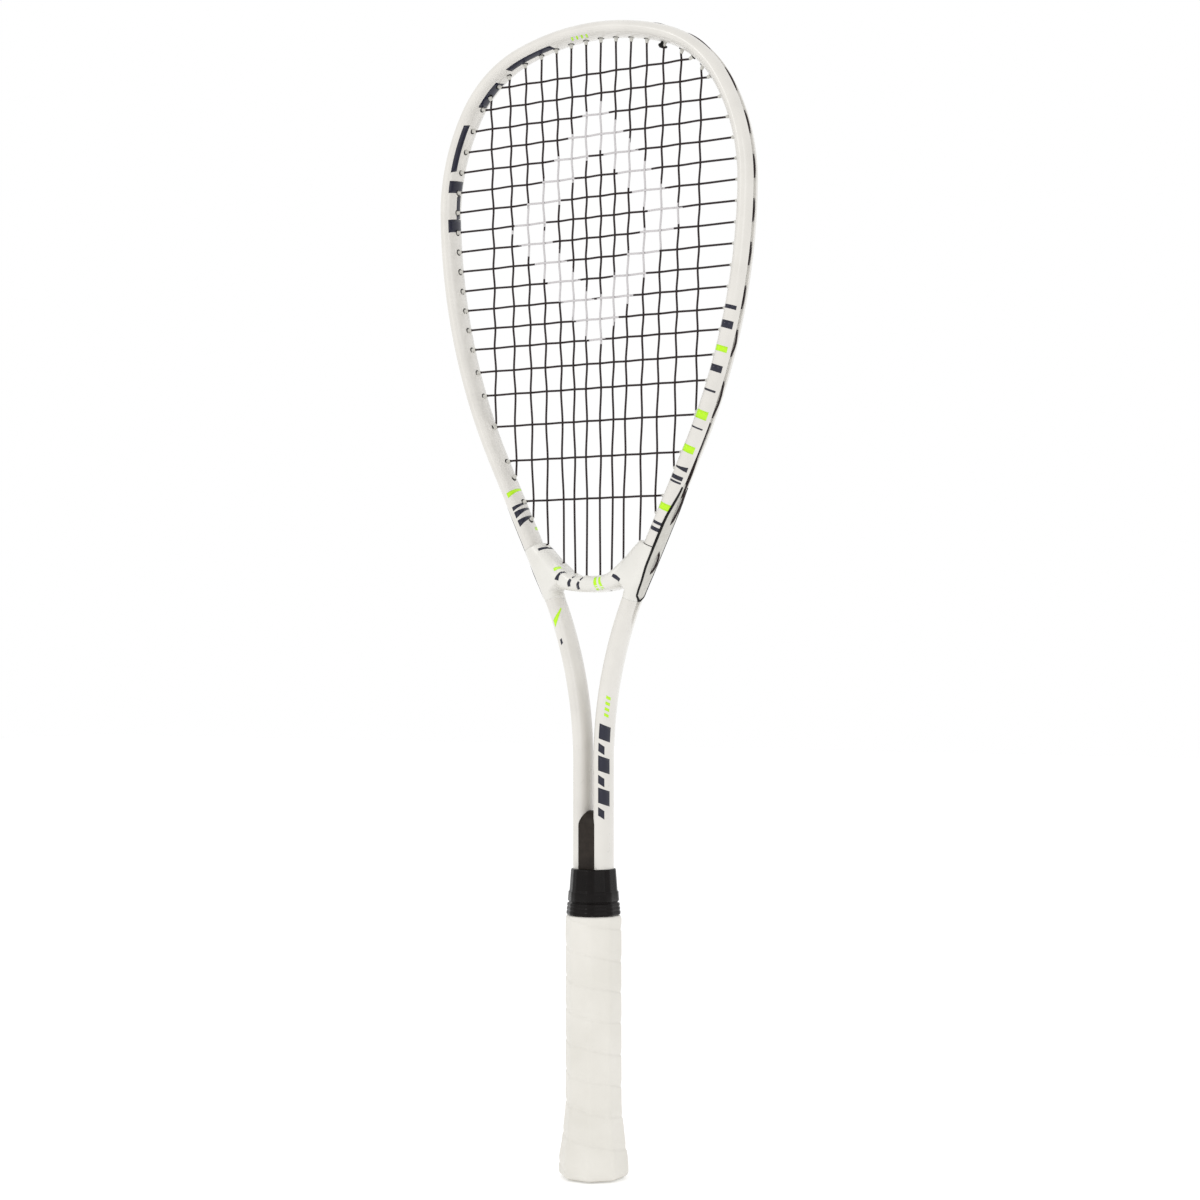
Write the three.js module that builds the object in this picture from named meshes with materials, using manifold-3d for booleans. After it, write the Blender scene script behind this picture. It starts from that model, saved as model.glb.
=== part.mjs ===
// Squash racket: a hollow painted alloy frame bent from one tube, a moulded throat yoke, grommet
// strips, two woven strings, a filler between the shafts and a wrapped handle with a rubber collar.
// Millimetres. +Z runs from the butt to the head, the string bed lies in the XZ plane, and the butt
// stands on Z = 0.
import * as THREE from "three";
import { mergeVertices } from "three/addons/utils/BufferGeometryUtils.js";
import Module from "manifold-3d";

const wasm = await Module();
wasm.setup();

// ---------- driving dimensions ----------

const GAP = 0.3; // clearance between pieces that touch
const FAR = 800; // larger than the racket

// Frame centreline, half of it: from the top of the head down, as arcs of [radius, degrees turned].
const APEX_Z = 680.15;
const HEAD_ARCS = [[150, 19], [70, 41], [119, 31], [365, 24.5]];
const THROAT_RADIUS = 246;
const SHAFT_X = 7.1;
const SHAFT_END_Z = 12;
const STEP_DEGREES = 8.3;
const STEP_LENGTH = 27;

// Frame tube: an ellipse with a string groove along its outer side.
const TUBE_A = 4.85; // half width in the plane of the head
const TUBE_B = 8.8; // half depth
const TUBE_WALL = 1;
const GROOVE_HALF = 1.95;
const GROOVE_FLOOR = 2.6; // distance of the groove floor from the centreline
const GROOVE_END_Z = 325; // the shafts are smooth below this height

// Strings.
const STRING_R = 0.6;
const WEAVE = 0.775; // how far a string sits in front of or behind the bed's middle plane
const MAINS_HEAD_X = [5.1, 15.4, 25.8, 36.4, 48, 59.5, 73];
const MAINS_THROAT_X = [4.75, 12.7, 20.8, 31.7, 42, 53.8, 67.8];
const MAINS_HEAD_Z = 670;
const MAINS_THROAT_Z = 380;
const UPPER_CROSSES = 14;
const UPPER_CROSS_TOP = 655;
const CROSS_PITCH = 12.15;
const LOWER_CROSSES = [482.9, 468.4, 449, 427.8, 403];
const LOOP_OFFSET = 4.5; // the loops' distance from the centreline, in the groove
const LOOP_SIDESTEP = 1.3; // how far a loop moves aside to pass the other string's holes
const KNOT_Z = 662.6;

// Grommet strips: a band in the groove and a barrel for each string end.
const STRIP_INNER = GROOVE_FLOOR + GAP;
const STRIP_OUTER = STRIP_INNER + 0.7;
const STRIP_HALF = GROOVE_HALF - GAP;
const BARREL_TIP = -(TUBE_A + 2.8); // how far a barrel reaches inside the hoop
const BARREL_SET_BACK = 0.9; // the string bends this far ahead of the barrel's mouth
const BARREL_R = 1.4;
const BORE_R = 0.98;
const HOLE_R = 1.82;
const HEAD_STRIP_Z = 600.3;
const STRIP_END_Z = 342;

// Throat yoke.
const YOKE_UNDERSIDE_Z = 347.4;
const YOKE_TOP = [[0, 356.6], [13, 357.2], [20.8, 364], [31.7, 376.4], [43, 384]];
const YOKE_LOW_X = 27;
const YOKE_HALF_DEPTH = 9;
const SADDLE_A = 6.2;
const SADDLE_B = 10.1;
const SADDLE_LOW_Z = 343;
const SADDLE_HIGH_Z = 375;
const YOKE_STRAIGHT_MAINS = 2; // mains on each side that pass straight through the bridge
const YOKE_MAINS = 4; // mains on each side that enter the yoke
const YOKE_ENTRY_Z = [357, 357, 365.3, 377];

// Filler between the shafts.
const FILLER_HALF_DEPTH = 7.9;
const FILLER_TOP_Z = 217.8;

// Handle.
const GRIP_TOP_Z = 156;
const GRIP_HALF = 16;
const GRIP_THICKNESS = 1.6;
const GRIP_LOW_Z = 1.2;
const GRIP_FLARE = [[GRIP_LOW_Z, 18.8], [3.5, 19.6], [9.6, 19.8], [14, 19.4], [20.3, 18.3], [34, 16.9]];
const GRIP_PROFILE = [...GRIP_FLARE, [43, GRIP_HALF]];
const CAP_WALL = 1.2;
const CAP_TOP_Z = 22;
const CAP_BASE = [[0, 16.2], [0.5, 17.8], [0.9, 18.1]];
const CAP_FLOOR_Z = 2.6;
const TAPE_LENGTH = 10;
const COLLAR_LOW_Z = 156.3;
const COLLAR_RINGS = [[162.9, 15], [163.8, 14.4], [164.7, 14.8], [170, 14.1], [183.5, 12.75]];
const COLLAR_PROFILE = [[COLLAR_LOW_Z, 15.6], ...COLLAR_RINGS];
const STAPLE_Z = 12;

const rad = THREE.MathUtils.degToRad;

// ---------- solids ----------

function manifold(positions, indices) {
  return new wasm.Manifold(
    new wasm.Mesh({ numProp: 3, vertProperties: positions, triVerts: indices }),
  );
}

// A three.js geometry as a solid, turned to face outwards.
function solid(geometry) {
  const bare = geometry.clone();
  bare.deleteAttribute("normal");
  bare.deleteAttribute("uv");
  const merged = mergeVertices(bare, 1e-4);
  const positions = new Float32Array(merged.attributes.position.array);
  const indices = new Uint32Array(merged.index.array);
  const made = manifold(positions, indices);
  return made.volume() < 0 ? manifold(positions, indices.slice().reverse()) : made;
}

function geometryOf(made) {
  const mesh = made.getMesh();
  const geometry = new THREE.BufferGeometry();
  geometry.setAttribute("position", new THREE.BufferAttribute(mesh.vertProperties, 3));
  geometry.setIndex(new THREE.BufferAttribute(mesh.triVerts, 1));
  geometry.computeVertexNormals();
  return geometry;
}

// A closed skin over rings of equally many points, capped at both ends.
function skin(rings) {
  const sides = rings[0].length;
  const indices = [];
  for (let i = 0; i + 1 < rings.length; i++) {
    for (let j = 0; j < sides; j++) {
      const a = i * sides + j;
      const b = i * sides + ((j + 1) % sides);
      indices.push(a, b, a + sides, b, b + sides, a + sides);
    }
  }
  const flat = flatten(rings[0]);
  const last = (rings.length - 1) * sides;
  for (const [a, b, c] of THREE.ShapeUtils.triangulateShape(flat, [])) {
    indices.push(c, b, a, a + last, b + last, c + last);
  }
  const geometry = new THREE.BufferGeometry().setFromPoints(rings.flat());
  geometry.setIndex(indices);
  return solid(geometry);
}

// A planar ring seen in its own plane, anticlockwise about its middle.
function flatten(ring) {
  const middle = ring.reduce((sum, p) => sum.add(p), new THREE.Vector3()).divideScalar(ring.length);
  const across = ring[0].clone().sub(middle).normalize();
  const normal = new THREE.Vector3();
  ring.forEach((p, i) => {
    const next = ring[(i + 1) % ring.length].clone().sub(middle);
    normal.add(p.clone().sub(middle).cross(next));
  });
  const up = normal.normalize().cross(across);
  return ring.map((p) => {
    const d = p.clone().sub(middle);
    return new THREE.Vector2(d.dot(across), d.dot(up));
  });
}

function box(low, high) {
  const size = high.map((value, i) => value - low[i]);
  const geometry = new THREE.BoxGeometry(...size);
  geometry.translate(...low.map((value, i) => value + size[i] / 2));
  return solid(geometry);
}

const union = (solids) => solids.reduce((sum, next) => sum.add(next));

// ---------- the frame's centreline ----------

// Half of the centreline as pieces: arcs {cx, cz, radius, side, from, to} and straights
// {x, z, turn, length}. "turn" is the angle turned from the head's top, and the outward direction
// there is (sin turn, cos turn).
function layOutHalf() {
  const pieces = [];
  let x = 0;
  let z = APEX_Z;
  let turn = 0;
  for (const [radius, degrees] of HEAD_ARCS) {
    const to = turn + rad(degrees);
    const cx = x - radius * Math.sin(turn);
    const cz = z - radius * Math.cos(turn);
    pieces.push({ cx, cz, radius, side: 1, from: turn, to });
    x = cx + radius * Math.sin(to);
    z = cz + radius * Math.cos(to);
    turn = to;
  }
  const bendWidth = THROAT_RADIUS * (1 - Math.sin(turn));
  const length = (x - bendWidth - SHAFT_X) / -Math.cos(turn);
  pieces.push({ x, z, turn, length });
  x += length * Math.cos(turn);
  z -= length * Math.sin(turn);
  const cx = x + THROAT_RADIUS * Math.sin(turn);
  const cz = z + THROAT_RADIUS * Math.cos(turn);
  pieces.push({ cx, cz, radius: THROAT_RADIUS, side: -1, from: turn, to: rad(90) });
  return pieces;
}

const HALF = layOutHalf();

// Where a point near the right half lies: its distance outwards from the centreline and the turn there.
function nearest(x, z) {
  for (const piece of HALF) {
    if (piece.side === undefined) {
      const s = Math.sin(piece.turn);
      const c = Math.cos(piece.turn);
      const along = (x - piece.x) * c - (z - piece.z) * s;
      const offset = (x - piece.x) * s + (z - piece.z) * c;
      if (along >= 0 && along <= piece.length) return { offset, turn: piece.turn };
    } else {
      const dx = piece.side * (x - piece.cx);
      const dz = piece.side * (z - piece.cz);
      const turn = Math.atan2(dx, dz);
      const low = Math.min(piece.from, piece.to);
      const high = Math.max(piece.from, piece.to);
      const offset = piece.side * (Math.hypot(dx, dz) - piece.radius);
      if (turn >= low && turn <= high) return { offset, turn };
    }
  }
  return { offset: x - SHAFT_X, turn: rad(90) };
}

// Stations along the whole frame, from the left shaft's end over the head to the right shaft's end.
function stations(endZ) {
  const right = [];
  for (const piece of HALF) {
    if (piece.side === undefined) continue;
    const sweep = piece.to - piece.from;
    const byAngle = Math.abs(sweep) / rad(STEP_DEGREES);
    const byLength = (Math.abs(sweep) * piece.radius) / STEP_LENGTH;
    const steps = Math.ceil(Math.max(byAngle, byLength));
    const first = right.length > 0 && piece.side > 0 ? 1 : 0;
    for (let i = first; i <= steps; i++) {
      const turn = piece.from + (sweep * i) / steps;
      const reach = piece.side * piece.radius;
      const x = piece.cx + reach * Math.sin(turn);
      const z = piece.cz + reach * Math.cos(turn);
      right.push({ x, z, nx: Math.sin(turn), nz: Math.cos(turn) });
    }
  }
  right.push({ x: SHAFT_X, z: endZ, nx: 1, nz: 0 });
  const left = right.slice(1).map((s) => ({ x: -s.x, z: s.z, nx: -s.nx, nz: s.nz }));
  return [...left.reverse(), ...right];
}

// A section of [outwards, y] points at a station.
const sectionAt = (s, section) =>
  section.map(([n, y]) => new THREE.Vector3(s.x + s.nx * n, y, s.z + s.nz * n));

const sweepSection = (section, path) => skin(path.map((s) => sectionAt(s, section)));

function ellipse(a, b, from, to, count) {
  const points = [];
  for (let i = 0; i < count; i++) {
    const t = from + ((to - from) * i) / (count - 1);
    points.push([a * Math.cos(t), b * Math.sin(t)]);
  }
  return points;
}

const wholeEllipse = (a, b, count) => ellipse(a, b, 0, 2 * Math.PI * (1 - 1 / count), count);

// ---------- the routes of the strings ----------

// Points on a line from outside to inside where the offset from the centreline takes a value.
function offsetPoint(outside, inside, wanted) {
  let far = 0;
  let near = 1;
  const at = (t) => outside.clone().lerp(inside, t);
  for (let i = 0; i < 50; i++) {
    const middle = (far + near) / 2;
    const p = at(middle);
    if (nearest(p.x, p.z).offset > wanted) far = middle;
    else near = middle;
  }
  return at(near);
}

// A string end on the right half: its tip, where it bends towards the tube, its direction square
// through the tube and the corner where its loop starts.
function endFrom(tip) {
  const { offset, turn } = nearest(tip.x, tip.z);
  const direction = new THREE.Vector3(Math.sin(turn), 0, Math.cos(turn));
  const corner = tip.clone().addScaledVector(direction, LOOP_OFFSET - offset);
  return { tip, direction, corner };
}

const stringEnd = (outside, inside) => endFrom(offsetPoint(outside, inside, BARREL_TIP));

const mirrored = (p) => new THREE.Vector3(-p.x, p.y, p.z);
const mirroredEnd = (end) => ({
  tip: mirrored(end.tip),
  direction: mirrored(end.direction),
  corner: mirrored(end.corner),
});

function mainX(i, z) {
  const rise = (z - MAINS_THROAT_Z) / (MAINS_HEAD_Z - MAINS_THROAT_Z);
  return MAINS_THROAT_X[i] + (MAINS_HEAD_X[i] - MAINS_THROAT_X[i]) * rise;
}

const mainPoint = (i, z) => new THREE.Vector3(mainX(i, z), 0, z);

const CROSS_Z = [];
for (let i = 0; i < UPPER_CROSSES; i++) CROSS_Z.push(UPPER_CROSS_TOP - CROSS_PITCH * i);
CROSS_Z.push(...LOWER_CROSSES);

const SIDE_MAINS = MAINS_HEAD_X.length;

const headEnds = MAINS_HEAD_X.map((_, i) => stringEnd(mainPoint(i, 700), mainPoint(i, 600)));
const yokeEnds = [];
for (let i = YOKE_STRAIGHT_MAINS; i < YOKE_MAINS; i++) {
  yokeEnds[i] = endFrom(mainPoint(i, YOKE_ENTRY_Z[i]));
}
const throatEnds = MAINS_HEAD_X.map((_, i) =>
  i < YOKE_MAINS ? yokeEnds[i] : stringEnd(mainPoint(i, 300), mainPoint(i, 470)),
);
const crossEnds = CROSS_Z.map((z) =>
  stringEnd(new THREE.Vector3(130, 0, z), new THREE.Vector3(30, 0, z)),
);

// The loop from one corner to the next along the groove, stepping aside to pass the holes between them.
function loop(from, to, sidestep) {
  return [0, 0.2, 0.5, 0.8, 1].map((t) => {
    const p = from.clone().lerp(to, t);
    const { offset, turn } = nearest(Math.abs(p.x), p.z);
    const lift = LOOP_OFFSET - offset;
    p.x += Math.sign(p.x) * Math.sin(turn) * lift;
    p.z += Math.cos(turn) * lift;
    p.y = t > 0 && t < 1 ? sidestep : 0;
    return p;
  });
}

// Signed mains from left to right: {side, i}.
const MAINS = [];
for (let i = SIDE_MAINS - 1; i >= 0; i--) MAINS.push({ side: -1, i });
for (let i = 0; i < SIDE_MAINS; i++) MAINS.push({ side: 1, i });

const turned = (side, p) => (side < 0 ? mirrored(p) : p.clone());
const weave = (main, cross) => ((main + cross) % 2 === 0 ? WEAVE : -WEAVE);

function mainRoute() {
  const route = [];
  MAINS.forEach(({ side, i }, column) => {
    const points = [];
    if (i < YOKE_STRAIGHT_MAINS) {
      const below = mainPoint(i, YOKE_UNDERSIDE_Z - 2.3);
      points.push(turned(side, below), turned(side, mainPoint(i, YOKE_ENTRY_Z[i])));
    } else {
      points.push(turned(side, throatEnds[i].corner), turned(side, throatEnds[i].tip));
    }
    const rows = CROSS_Z.map((z, row) => ({ z, row })).reverse();
    for (const { z, row } of rows) {
      const inHead = crossEnds[row].tip.x > mainX(i, z);
      const p = turned(side, mainPoint(i, z));
      p.y = weave(column, row);
      if (inHead) points.push(p);
    }
    points.push(turned(side, headEnds[i].tip), turned(side, headEnds[i].corner));
    const up = column % 2 === 0;
    if (!up) points.reverse();
    if (column > 0) {
      const from = route[route.length - 1];
      const underBridge = up && i < YOKE_STRAIGHT_MAINS;
      if (!underBridge) route.push(...loop(from, points[0], LOOP_SIDESTEP).slice(1, -1));
    }
    route.push(...points);
  });
  return route;
}

function crossRoute() {
  const route = [];
  CROSS_Z.forEach((z, row) => {
    const { tip, corner } = crossEnds[row];
    const points = [mirrored(corner), mirrored(tip)];
    MAINS.forEach(({ side, i }, column) => {
      if (tip.x > mainX(i, z)) {
        points.push(new THREE.Vector3(side * mainX(i, z), -weave(column, row), z));
      }
    });
    points.push(tip.clone(), corner.clone());
    if (row % 2 === 0) points.reverse();
    if (row > 0) {
      const from = route[route.length - 1];
      route.push(...loop(from, points[0], -LOOP_SIDESTEP).slice(1, -1));
    }
    route.push(...points);
  });
  return route;
}

// A cord along points, its section a regular polygon with one corner in the plane of the bed.
function cord(points, radius, sides = 4) {
  const depth = new THREE.Vector3(0, 1, 0);
  return skin(
    points.map((p, k) => {
      const before = points[Math.max(k - 1, 0)];
      const after = points[Math.min(k + 1, points.length - 1)];
      const back = k > 0 ? p.clone().sub(before).normalize() : new THREE.Vector3();
      const ahead = k + 1 < points.length ? after.clone().sub(p).normalize() : new THREE.Vector3();
      const tangent = back.add(ahead).normalize();
      const across = depth.clone().cross(tangent).normalize();
      const up = tangent.clone().cross(across);
      return wholeEllipse(radius, radius, sides).map(([s, t]) =>
        p.clone().addScaledVector(across, s).addScaledVector(up, t),
      );
    }),
  );
}

// ---------- frame, strips and yoke ----------

const ENDS = [...headEnds, ...throatEnds.filter((end) => end), ...crossEnds];
const ALL_ENDS = [...ENDS, ...ENDS.map(mirroredEnd)];

// A rod along a string end, from "before" the tip to "after" the loop's corner.
function rodAlong(end, before, after, radius) {
  const from = end.tip.clone().addScaledVector(end.direction, -before);
  const to = end.corner.clone().addScaledVector(end.direction, after);
  return cord([from, to], radius);
}

function frameTube() {
  const lip = Math.asin(GROOVE_HALF / TUBE_B);
  const rest = ellipse(TUBE_A, TUBE_B, lip, 2 * Math.PI - lip, 12);
  const grooved = [[GROOVE_FLOOR, -GROOVE_HALF], [GROOVE_FLOOR, GROOVE_HALF], ...rest];
  const smooth = [...ellipse(TUBE_A, TUBE_B, -lip / 3, lip / 3, 2), ...rest];
  const a = TUBE_A - TUBE_WALL;
  const b = TUBE_B - TUBE_WALL;
  const inner = [
    [GROOVE_FLOOR - TUBE_WALL, -GROOVE_HALF - TUBE_WALL],
    [GROOVE_FLOOR - TUBE_WALL, GROOVE_HALF + TUBE_WALL],
    ...ellipse(a, b, rad(35), rad(325), 6),
  ];
  const outer = stations(SHAFT_END_Z).map((s) => sectionAt(s, s.z > GROOVE_END_Z ? grooved : smooth));
  const tube = skin(outer).subtract(sweepSection(inner, stations(SHAFT_END_Z - 1)));
  return tube.subtract(union(ALL_ENDS.map((end) => rodAlong(end, 1, 3, HOLE_R))));
}

function grommetStrips() {
  const section = [
    [STRIP_INNER, -STRIP_HALF],
    [STRIP_OUTER, -STRIP_HALF],
    [STRIP_OUTER, STRIP_HALF],
    [STRIP_INNER, STRIP_HALF],
  ];
  const root = STRIP_INNER + 0.2 - LOOP_OFFSET;
  const barrels = union(ALL_ENDS.map((end) => rodAlong(end, -BARREL_SET_BACK, root, BARREL_R)));
  const bores = union(ALL_ENDS.map((end) => rodAlong(end, 1, 1, BORE_R)));
  const whole = sweepSection(section, stations(SHAFT_END_Z)).add(barrels).subtract(bores);
  const above = box([-FAR, -FAR, HEAD_STRIP_Z + GAP], [FAR, FAR, FAR]);
  const side = (low, high) => box([low, -FAR, STRIP_END_Z], [high, FAR, HEAD_STRIP_Z]);
  return {
    head_guard_strip: whole.intersect(above),
    left_grommet_strip: whole.intersect(side(-FAR, 0)),
    right_grommet_strip: whole.intersect(side(0, FAR)),
  };
}

function throatYoke() {
  const path = stations(SHAFT_END_Z).filter((s) => s.z > 250 && s.z < 470);
  const sides = [path.filter((s) => s.x > 0), path.filter((s) => s.x < 0)];
  const tubes = union(
    sides.map((side) => sweepSection(wholeEllipse(TUBE_A + GAP, TUBE_B + GAP, 20), side)),
  );
  const saddles = union(
    sides.map((side) => sweepSection(wholeEllipse(SADDLE_A, SADDLE_B, 20), side)),
  ).intersect(box([-FAR, -FAR, SADDLE_LOW_Z], [FAR, FAR, SADDLE_HIGH_Z]));
  const channel = [[2, -3], [9, -3], [9, 3], [2, 3]];
  const channels = union(sides.map((side) => sweepSection(channel, side)));
  const leftTop = YOKE_TOP.map(([x, z]) => [-x, z]).reverse();
  const under = [[YOKE_LOW_X, YOKE_UNDERSIDE_Z], [-YOKE_LOW_X, YOKE_UNDERSIDE_Z]];
  const corners = [...leftTop, ...YOKE_TOP.slice(1), ...under];
  const outline = new THREE.Shape(corners.map(([x, z]) => new THREE.Vector2(x, z)));
  const depth = 2 * YOKE_HALF_DEPTH;
  const block = new THREE.ExtrudeGeometry(outline, { depth, bevelEnabled: false });
  block.rotateX(Math.PI / 2);
  block.translate(0, YOKE_HALF_DEPTH, 0);
  const tunnels = [];
  for (const side of [-1, 1]) {
    for (let i = 0; i < YOKE_STRAIGHT_MAINS; i++) {
      const top = turned(side, mainPoint(i, 362));
      tunnels.push(cord([top, turned(side, mainPoint(i, 344))], HOLE_R));
    }
  }
  for (const end of yokeEnds.filter((one) => one)) {
    tunnels.push(rodAlong(end, 1, 3, HOLE_R), rodAlong(mirroredEnd(end), 1, 3, HOLE_R));
  }
  return solid(block).add(saddles).subtract(tubes).subtract(channels).subtract(union(tunnels));
}

// A plate under the yoke's bridge with a barrel up through it for each straight main.
function yokeGrommetStrip() {
  const reach = MAINS_THROAT_X[YOKE_STRAIGHT_MAINS - 1] + 3.2;
  const top = YOKE_UNDERSIDE_Z - GAP;
  let strip = box([-reach, -2.2, top - 0.8], [reach, 2.2, top]);
  for (const side of [-1, 1]) {
    for (let i = 0; i < YOKE_STRAIGHT_MAINS; i++) {
      const barrel = [turned(side, mainPoint(i, 357.6)), turned(side, mainPoint(i, top - 0.4))];
      const bore = [turned(side, mainPoint(i, 360)), turned(side, mainPoint(i, 344))];
      strip = strip.add(cord(barrel, BARREL_R)).subtract(cord(bore, BORE_R));
    }
  }
  return strip;
}

// A ring of knotted string round the fifth right-hand main, just inside the head.
function tieOffKnot() {
  const bore = 1.4;
  const profile = [[bore, -1.6], [2.1, -1.7], [2.5, 0], [2.1, 1.7], [bore, 1.6], [bore, -1.6]];
  const lathe = new THREE.LatheGeometry(profile.map(([r, y]) => new THREE.Vector2(r, y)), 8);
  lathe.rotateX(Math.PI / 2);
  lathe.translate(mainX(4, KNOT_Z), 0.1, KNOT_Z);
  return solid(lathe);
}

// ---------- shafts and handle ----------

function prism(points, low, high) {
  const ring = (z) => points.map(([x, y]) => new THREE.Vector3(x, y, z));
  return skin([ring(low), ring(high)]);
}

// The convex outline round both shafts, each an ellipse of half axes a and b.
function shaftHull(a, b) {
  const right = ellipse(a, b, rad(-90), rad(90), 9).map(([x, y]) => [x + SHAFT_X, y]);
  const left = ellipse(a, b, rad(90), rad(270), 9).map(([x, y]) => [x - SHAFT_X, y]);
  return [...right, ...left];
}

function shafts(a, b, low, high) {
  const shaft = (middle) => wholeEllipse(a, b, 16).map(([x, y]) => [x + middle, y]);
  return union([-SHAFT_X, SHAFT_X].map((middle) => prism(shaft(middle), low, high)));
}

function shaftFiller() {
  const low = SHAFT_END_Z + 2;
  const block = box([-SHAFT_X, -FILLER_HALF_DEPTH, low], [SHAFT_X, FILLER_HALF_DEPTH, FILLER_TOP_Z]);
  const nose = [[-FILLER_HALF_DEPTH, low - 1]];
  for (let i = 0; i <= 12; i++) {
    const t = Math.PI - (Math.PI * i) / 12;
    const y = FILLER_HALF_DEPTH * Math.cos(t);
    nose.push([y, FILLER_TOP_Z - FILLER_HALF_DEPTH * (1 - Math.sin(t))]);
  }
  nose.push([FILLER_HALF_DEPTH, low - 1]);
  const ring = (x) => nose.map(([y, z]) => new THREE.Vector3(x, y, z));
  const rounded = block.intersect(skin([ring(-SHAFT_X), ring(SHAFT_X)]));
  return rounded.subtract(shafts(TUBE_A + GAP, TUBE_B + GAP, low - 2, FILLER_TOP_Z + 2));
}

// An octagon with softened corners, half its width across flats given.
function octagon(half, corner, z) {
  const points = [];
  for (let k = 0; k < 8; k++) {
    const middle = rad(22.5 + 45 * k);
    const reach = (half - corner) / Math.cos(rad(22.5));
    for (const lean of [-13, 13]) {
      const t = middle + rad(lean);
      const x = reach * Math.cos(middle) + corner * Math.cos(t);
      points.push(new THREE.Vector3(x, reach * Math.sin(middle) + corner * Math.sin(t), z));
    }
  }
  return points;
}

const loft = (profile, corner, inset = 0) =>
  skin(profile.map(([z, half]) => octagon(half - inset, corner - inset * 0.4, z)));

// The grip's half width across flats at a height.
function gripHalf(z) {
  const above = GRIP_PROFILE.findIndex(([level]) => level > z);
  if (above < 0) return GRIP_HALF;
  if (above === 0) return GRIP_PROFILE[0][1];
  const [z0, h0] = GRIP_PROFILE[above - 1];
  const [z1, h1] = GRIP_PROFILE[above];
  return h0 + ((h1 - h0) * (z - z0)) / (z1 - z0);
}

// The grip's outer profile between two heights, moved inwards.
function gripProfile(low, high, inset) {
  const levels = GRIP_PROFILE.map(([z]) => z).filter((z) => z > low && z < high);
  return [low, ...levels, high].map((z) => [z, gripHalf(z) - inset]);
}

const GRIP_CORNER = 5;
const CAP_OUTER = GRIP_THICKNESS + GAP;
const CAP_INNER = CAP_OUTER + CAP_WALL;

const gripWrap = () =>
  loft(gripProfile(GRIP_LOW_Z, GRIP_TOP_Z, 0), GRIP_CORNER).subtract(
    loft(gripProfile(GRIP_LOW_Z - 1, GRIP_TOP_Z + 1, GRIP_THICKNESS), GRIP_CORNER - 0.6),
  );

// A staple across the cap's skirt, its legs going into the handle; grown by "extra" it is its own slot.
function staple(side, extra) {
  const face = gripHalf(STAPLE_Z) - CAP_OUTER;
  const inwards = (from, to) => [side * from, side * to].sort((p, q) => p - q);
  const part = (halfX, x, from, to) => {
    const [y0, y1] = inwards(face - from, face - to);
    const low = [x - halfX - extra, y0 - extra, STAPLE_Z - 0.5 - extra];
    return box(low, [x + halfX + extra, y1 + extra, STAPLE_Z + 0.5 + extra]);
  };
  return union([part(4.5, 0, 0, 0.6), part(0.5, -4, 0.1, 5.5), part(0.5, 4, 0.1, 5.5)]);
}

const stapleSlots = () => union([staple(-1, 0.25), staple(1, 0.25)]);

function buttCap() {
  const skirt = loft(gripProfile(0.6, CAP_TOP_Z, CAP_OUTER), GRIP_CORNER - 0.8);
  const cavity = loft(gripProfile(CAP_FLOOR_Z, CAP_TOP_Z + 1, CAP_INNER), GRIP_CORNER - 1.2);
  return loft(CAP_BASE, GRIP_CORNER - 0.8).add(skirt).subtract(cavity).subtract(stapleSlots());
}

function handleShells() {
  const inCap = loft(gripProfile(CAP_FLOOR_Z + GAP, CAP_TOP_Z + 1, CAP_INNER + GAP), GRIP_CORNER - 1.3);
  const above = loft(gripProfile(CAP_TOP_Z + GAP, GRIP_TOP_Z - 0.5, CAP_OUTER), GRIP_CORNER - 0.8);
  const shaftRoom = shafts(TUBE_A + GAP, TUBE_B + GAP, SHAFT_END_Z - GAP, GRIP_TOP_Z);
  const fillerHalf = [5.6, FILLER_HALF_DEPTH + GAP];
  const fillerLow = SHAFT_END_Z - GAP;
  const fillerRoom = box([-5.6, -fillerHalf[1], fillerLow], [5.6, fillerHalf[1], GRIP_TOP_Z]);
  const whole = inCap.add(above).subtract(shaftRoom).subtract(fillerRoom).subtract(stapleSlots());
  return {
    handle_shell_front: whole.subtract(box([-FAR, -GAP / 2, -1], [FAR, FAR, FAR])),
    handle_shell_rear: whole.subtract(box([-FAR, -FAR, -1], [FAR, GAP / 2, FAR])),
  };
}

const TAPE_A = TUBE_A + 2 * GAP;
const TAPE_B = TUBE_B + 2 * GAP;
const TAPE_LOW_Z = COLLAR_LOW_Z + GAP;

const finishingTape = () =>
  prism(shaftHull(TAPE_A, TAPE_B), TAPE_LOW_Z, TAPE_LOW_Z + TAPE_LENGTH).subtract(
    prism(shaftHull(TUBE_A + GAP, TUBE_B + GAP), TAPE_LOW_Z - 1, TAPE_LOW_Z + TAPE_LENGTH + 1),
  );

function gripCollar() {
  const tapeTop = TAPE_LOW_Z + TAPE_LENGTH + GAP;
  const wide = prism(shaftHull(TAPE_A + GAP, TAPE_B + GAP), COLLAR_LOW_Z - 1, tapeTop);
  const narrow = prism(shaftHull(TUBE_A + GAP, TUBE_B + GAP), COLLAR_LOW_Z - 1, FILLER_TOP_Z);
  return loft(COLLAR_PROFILE, 3.5).subtract(wide).subtract(narrow);
}

// ---------- assembly ----------

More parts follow.
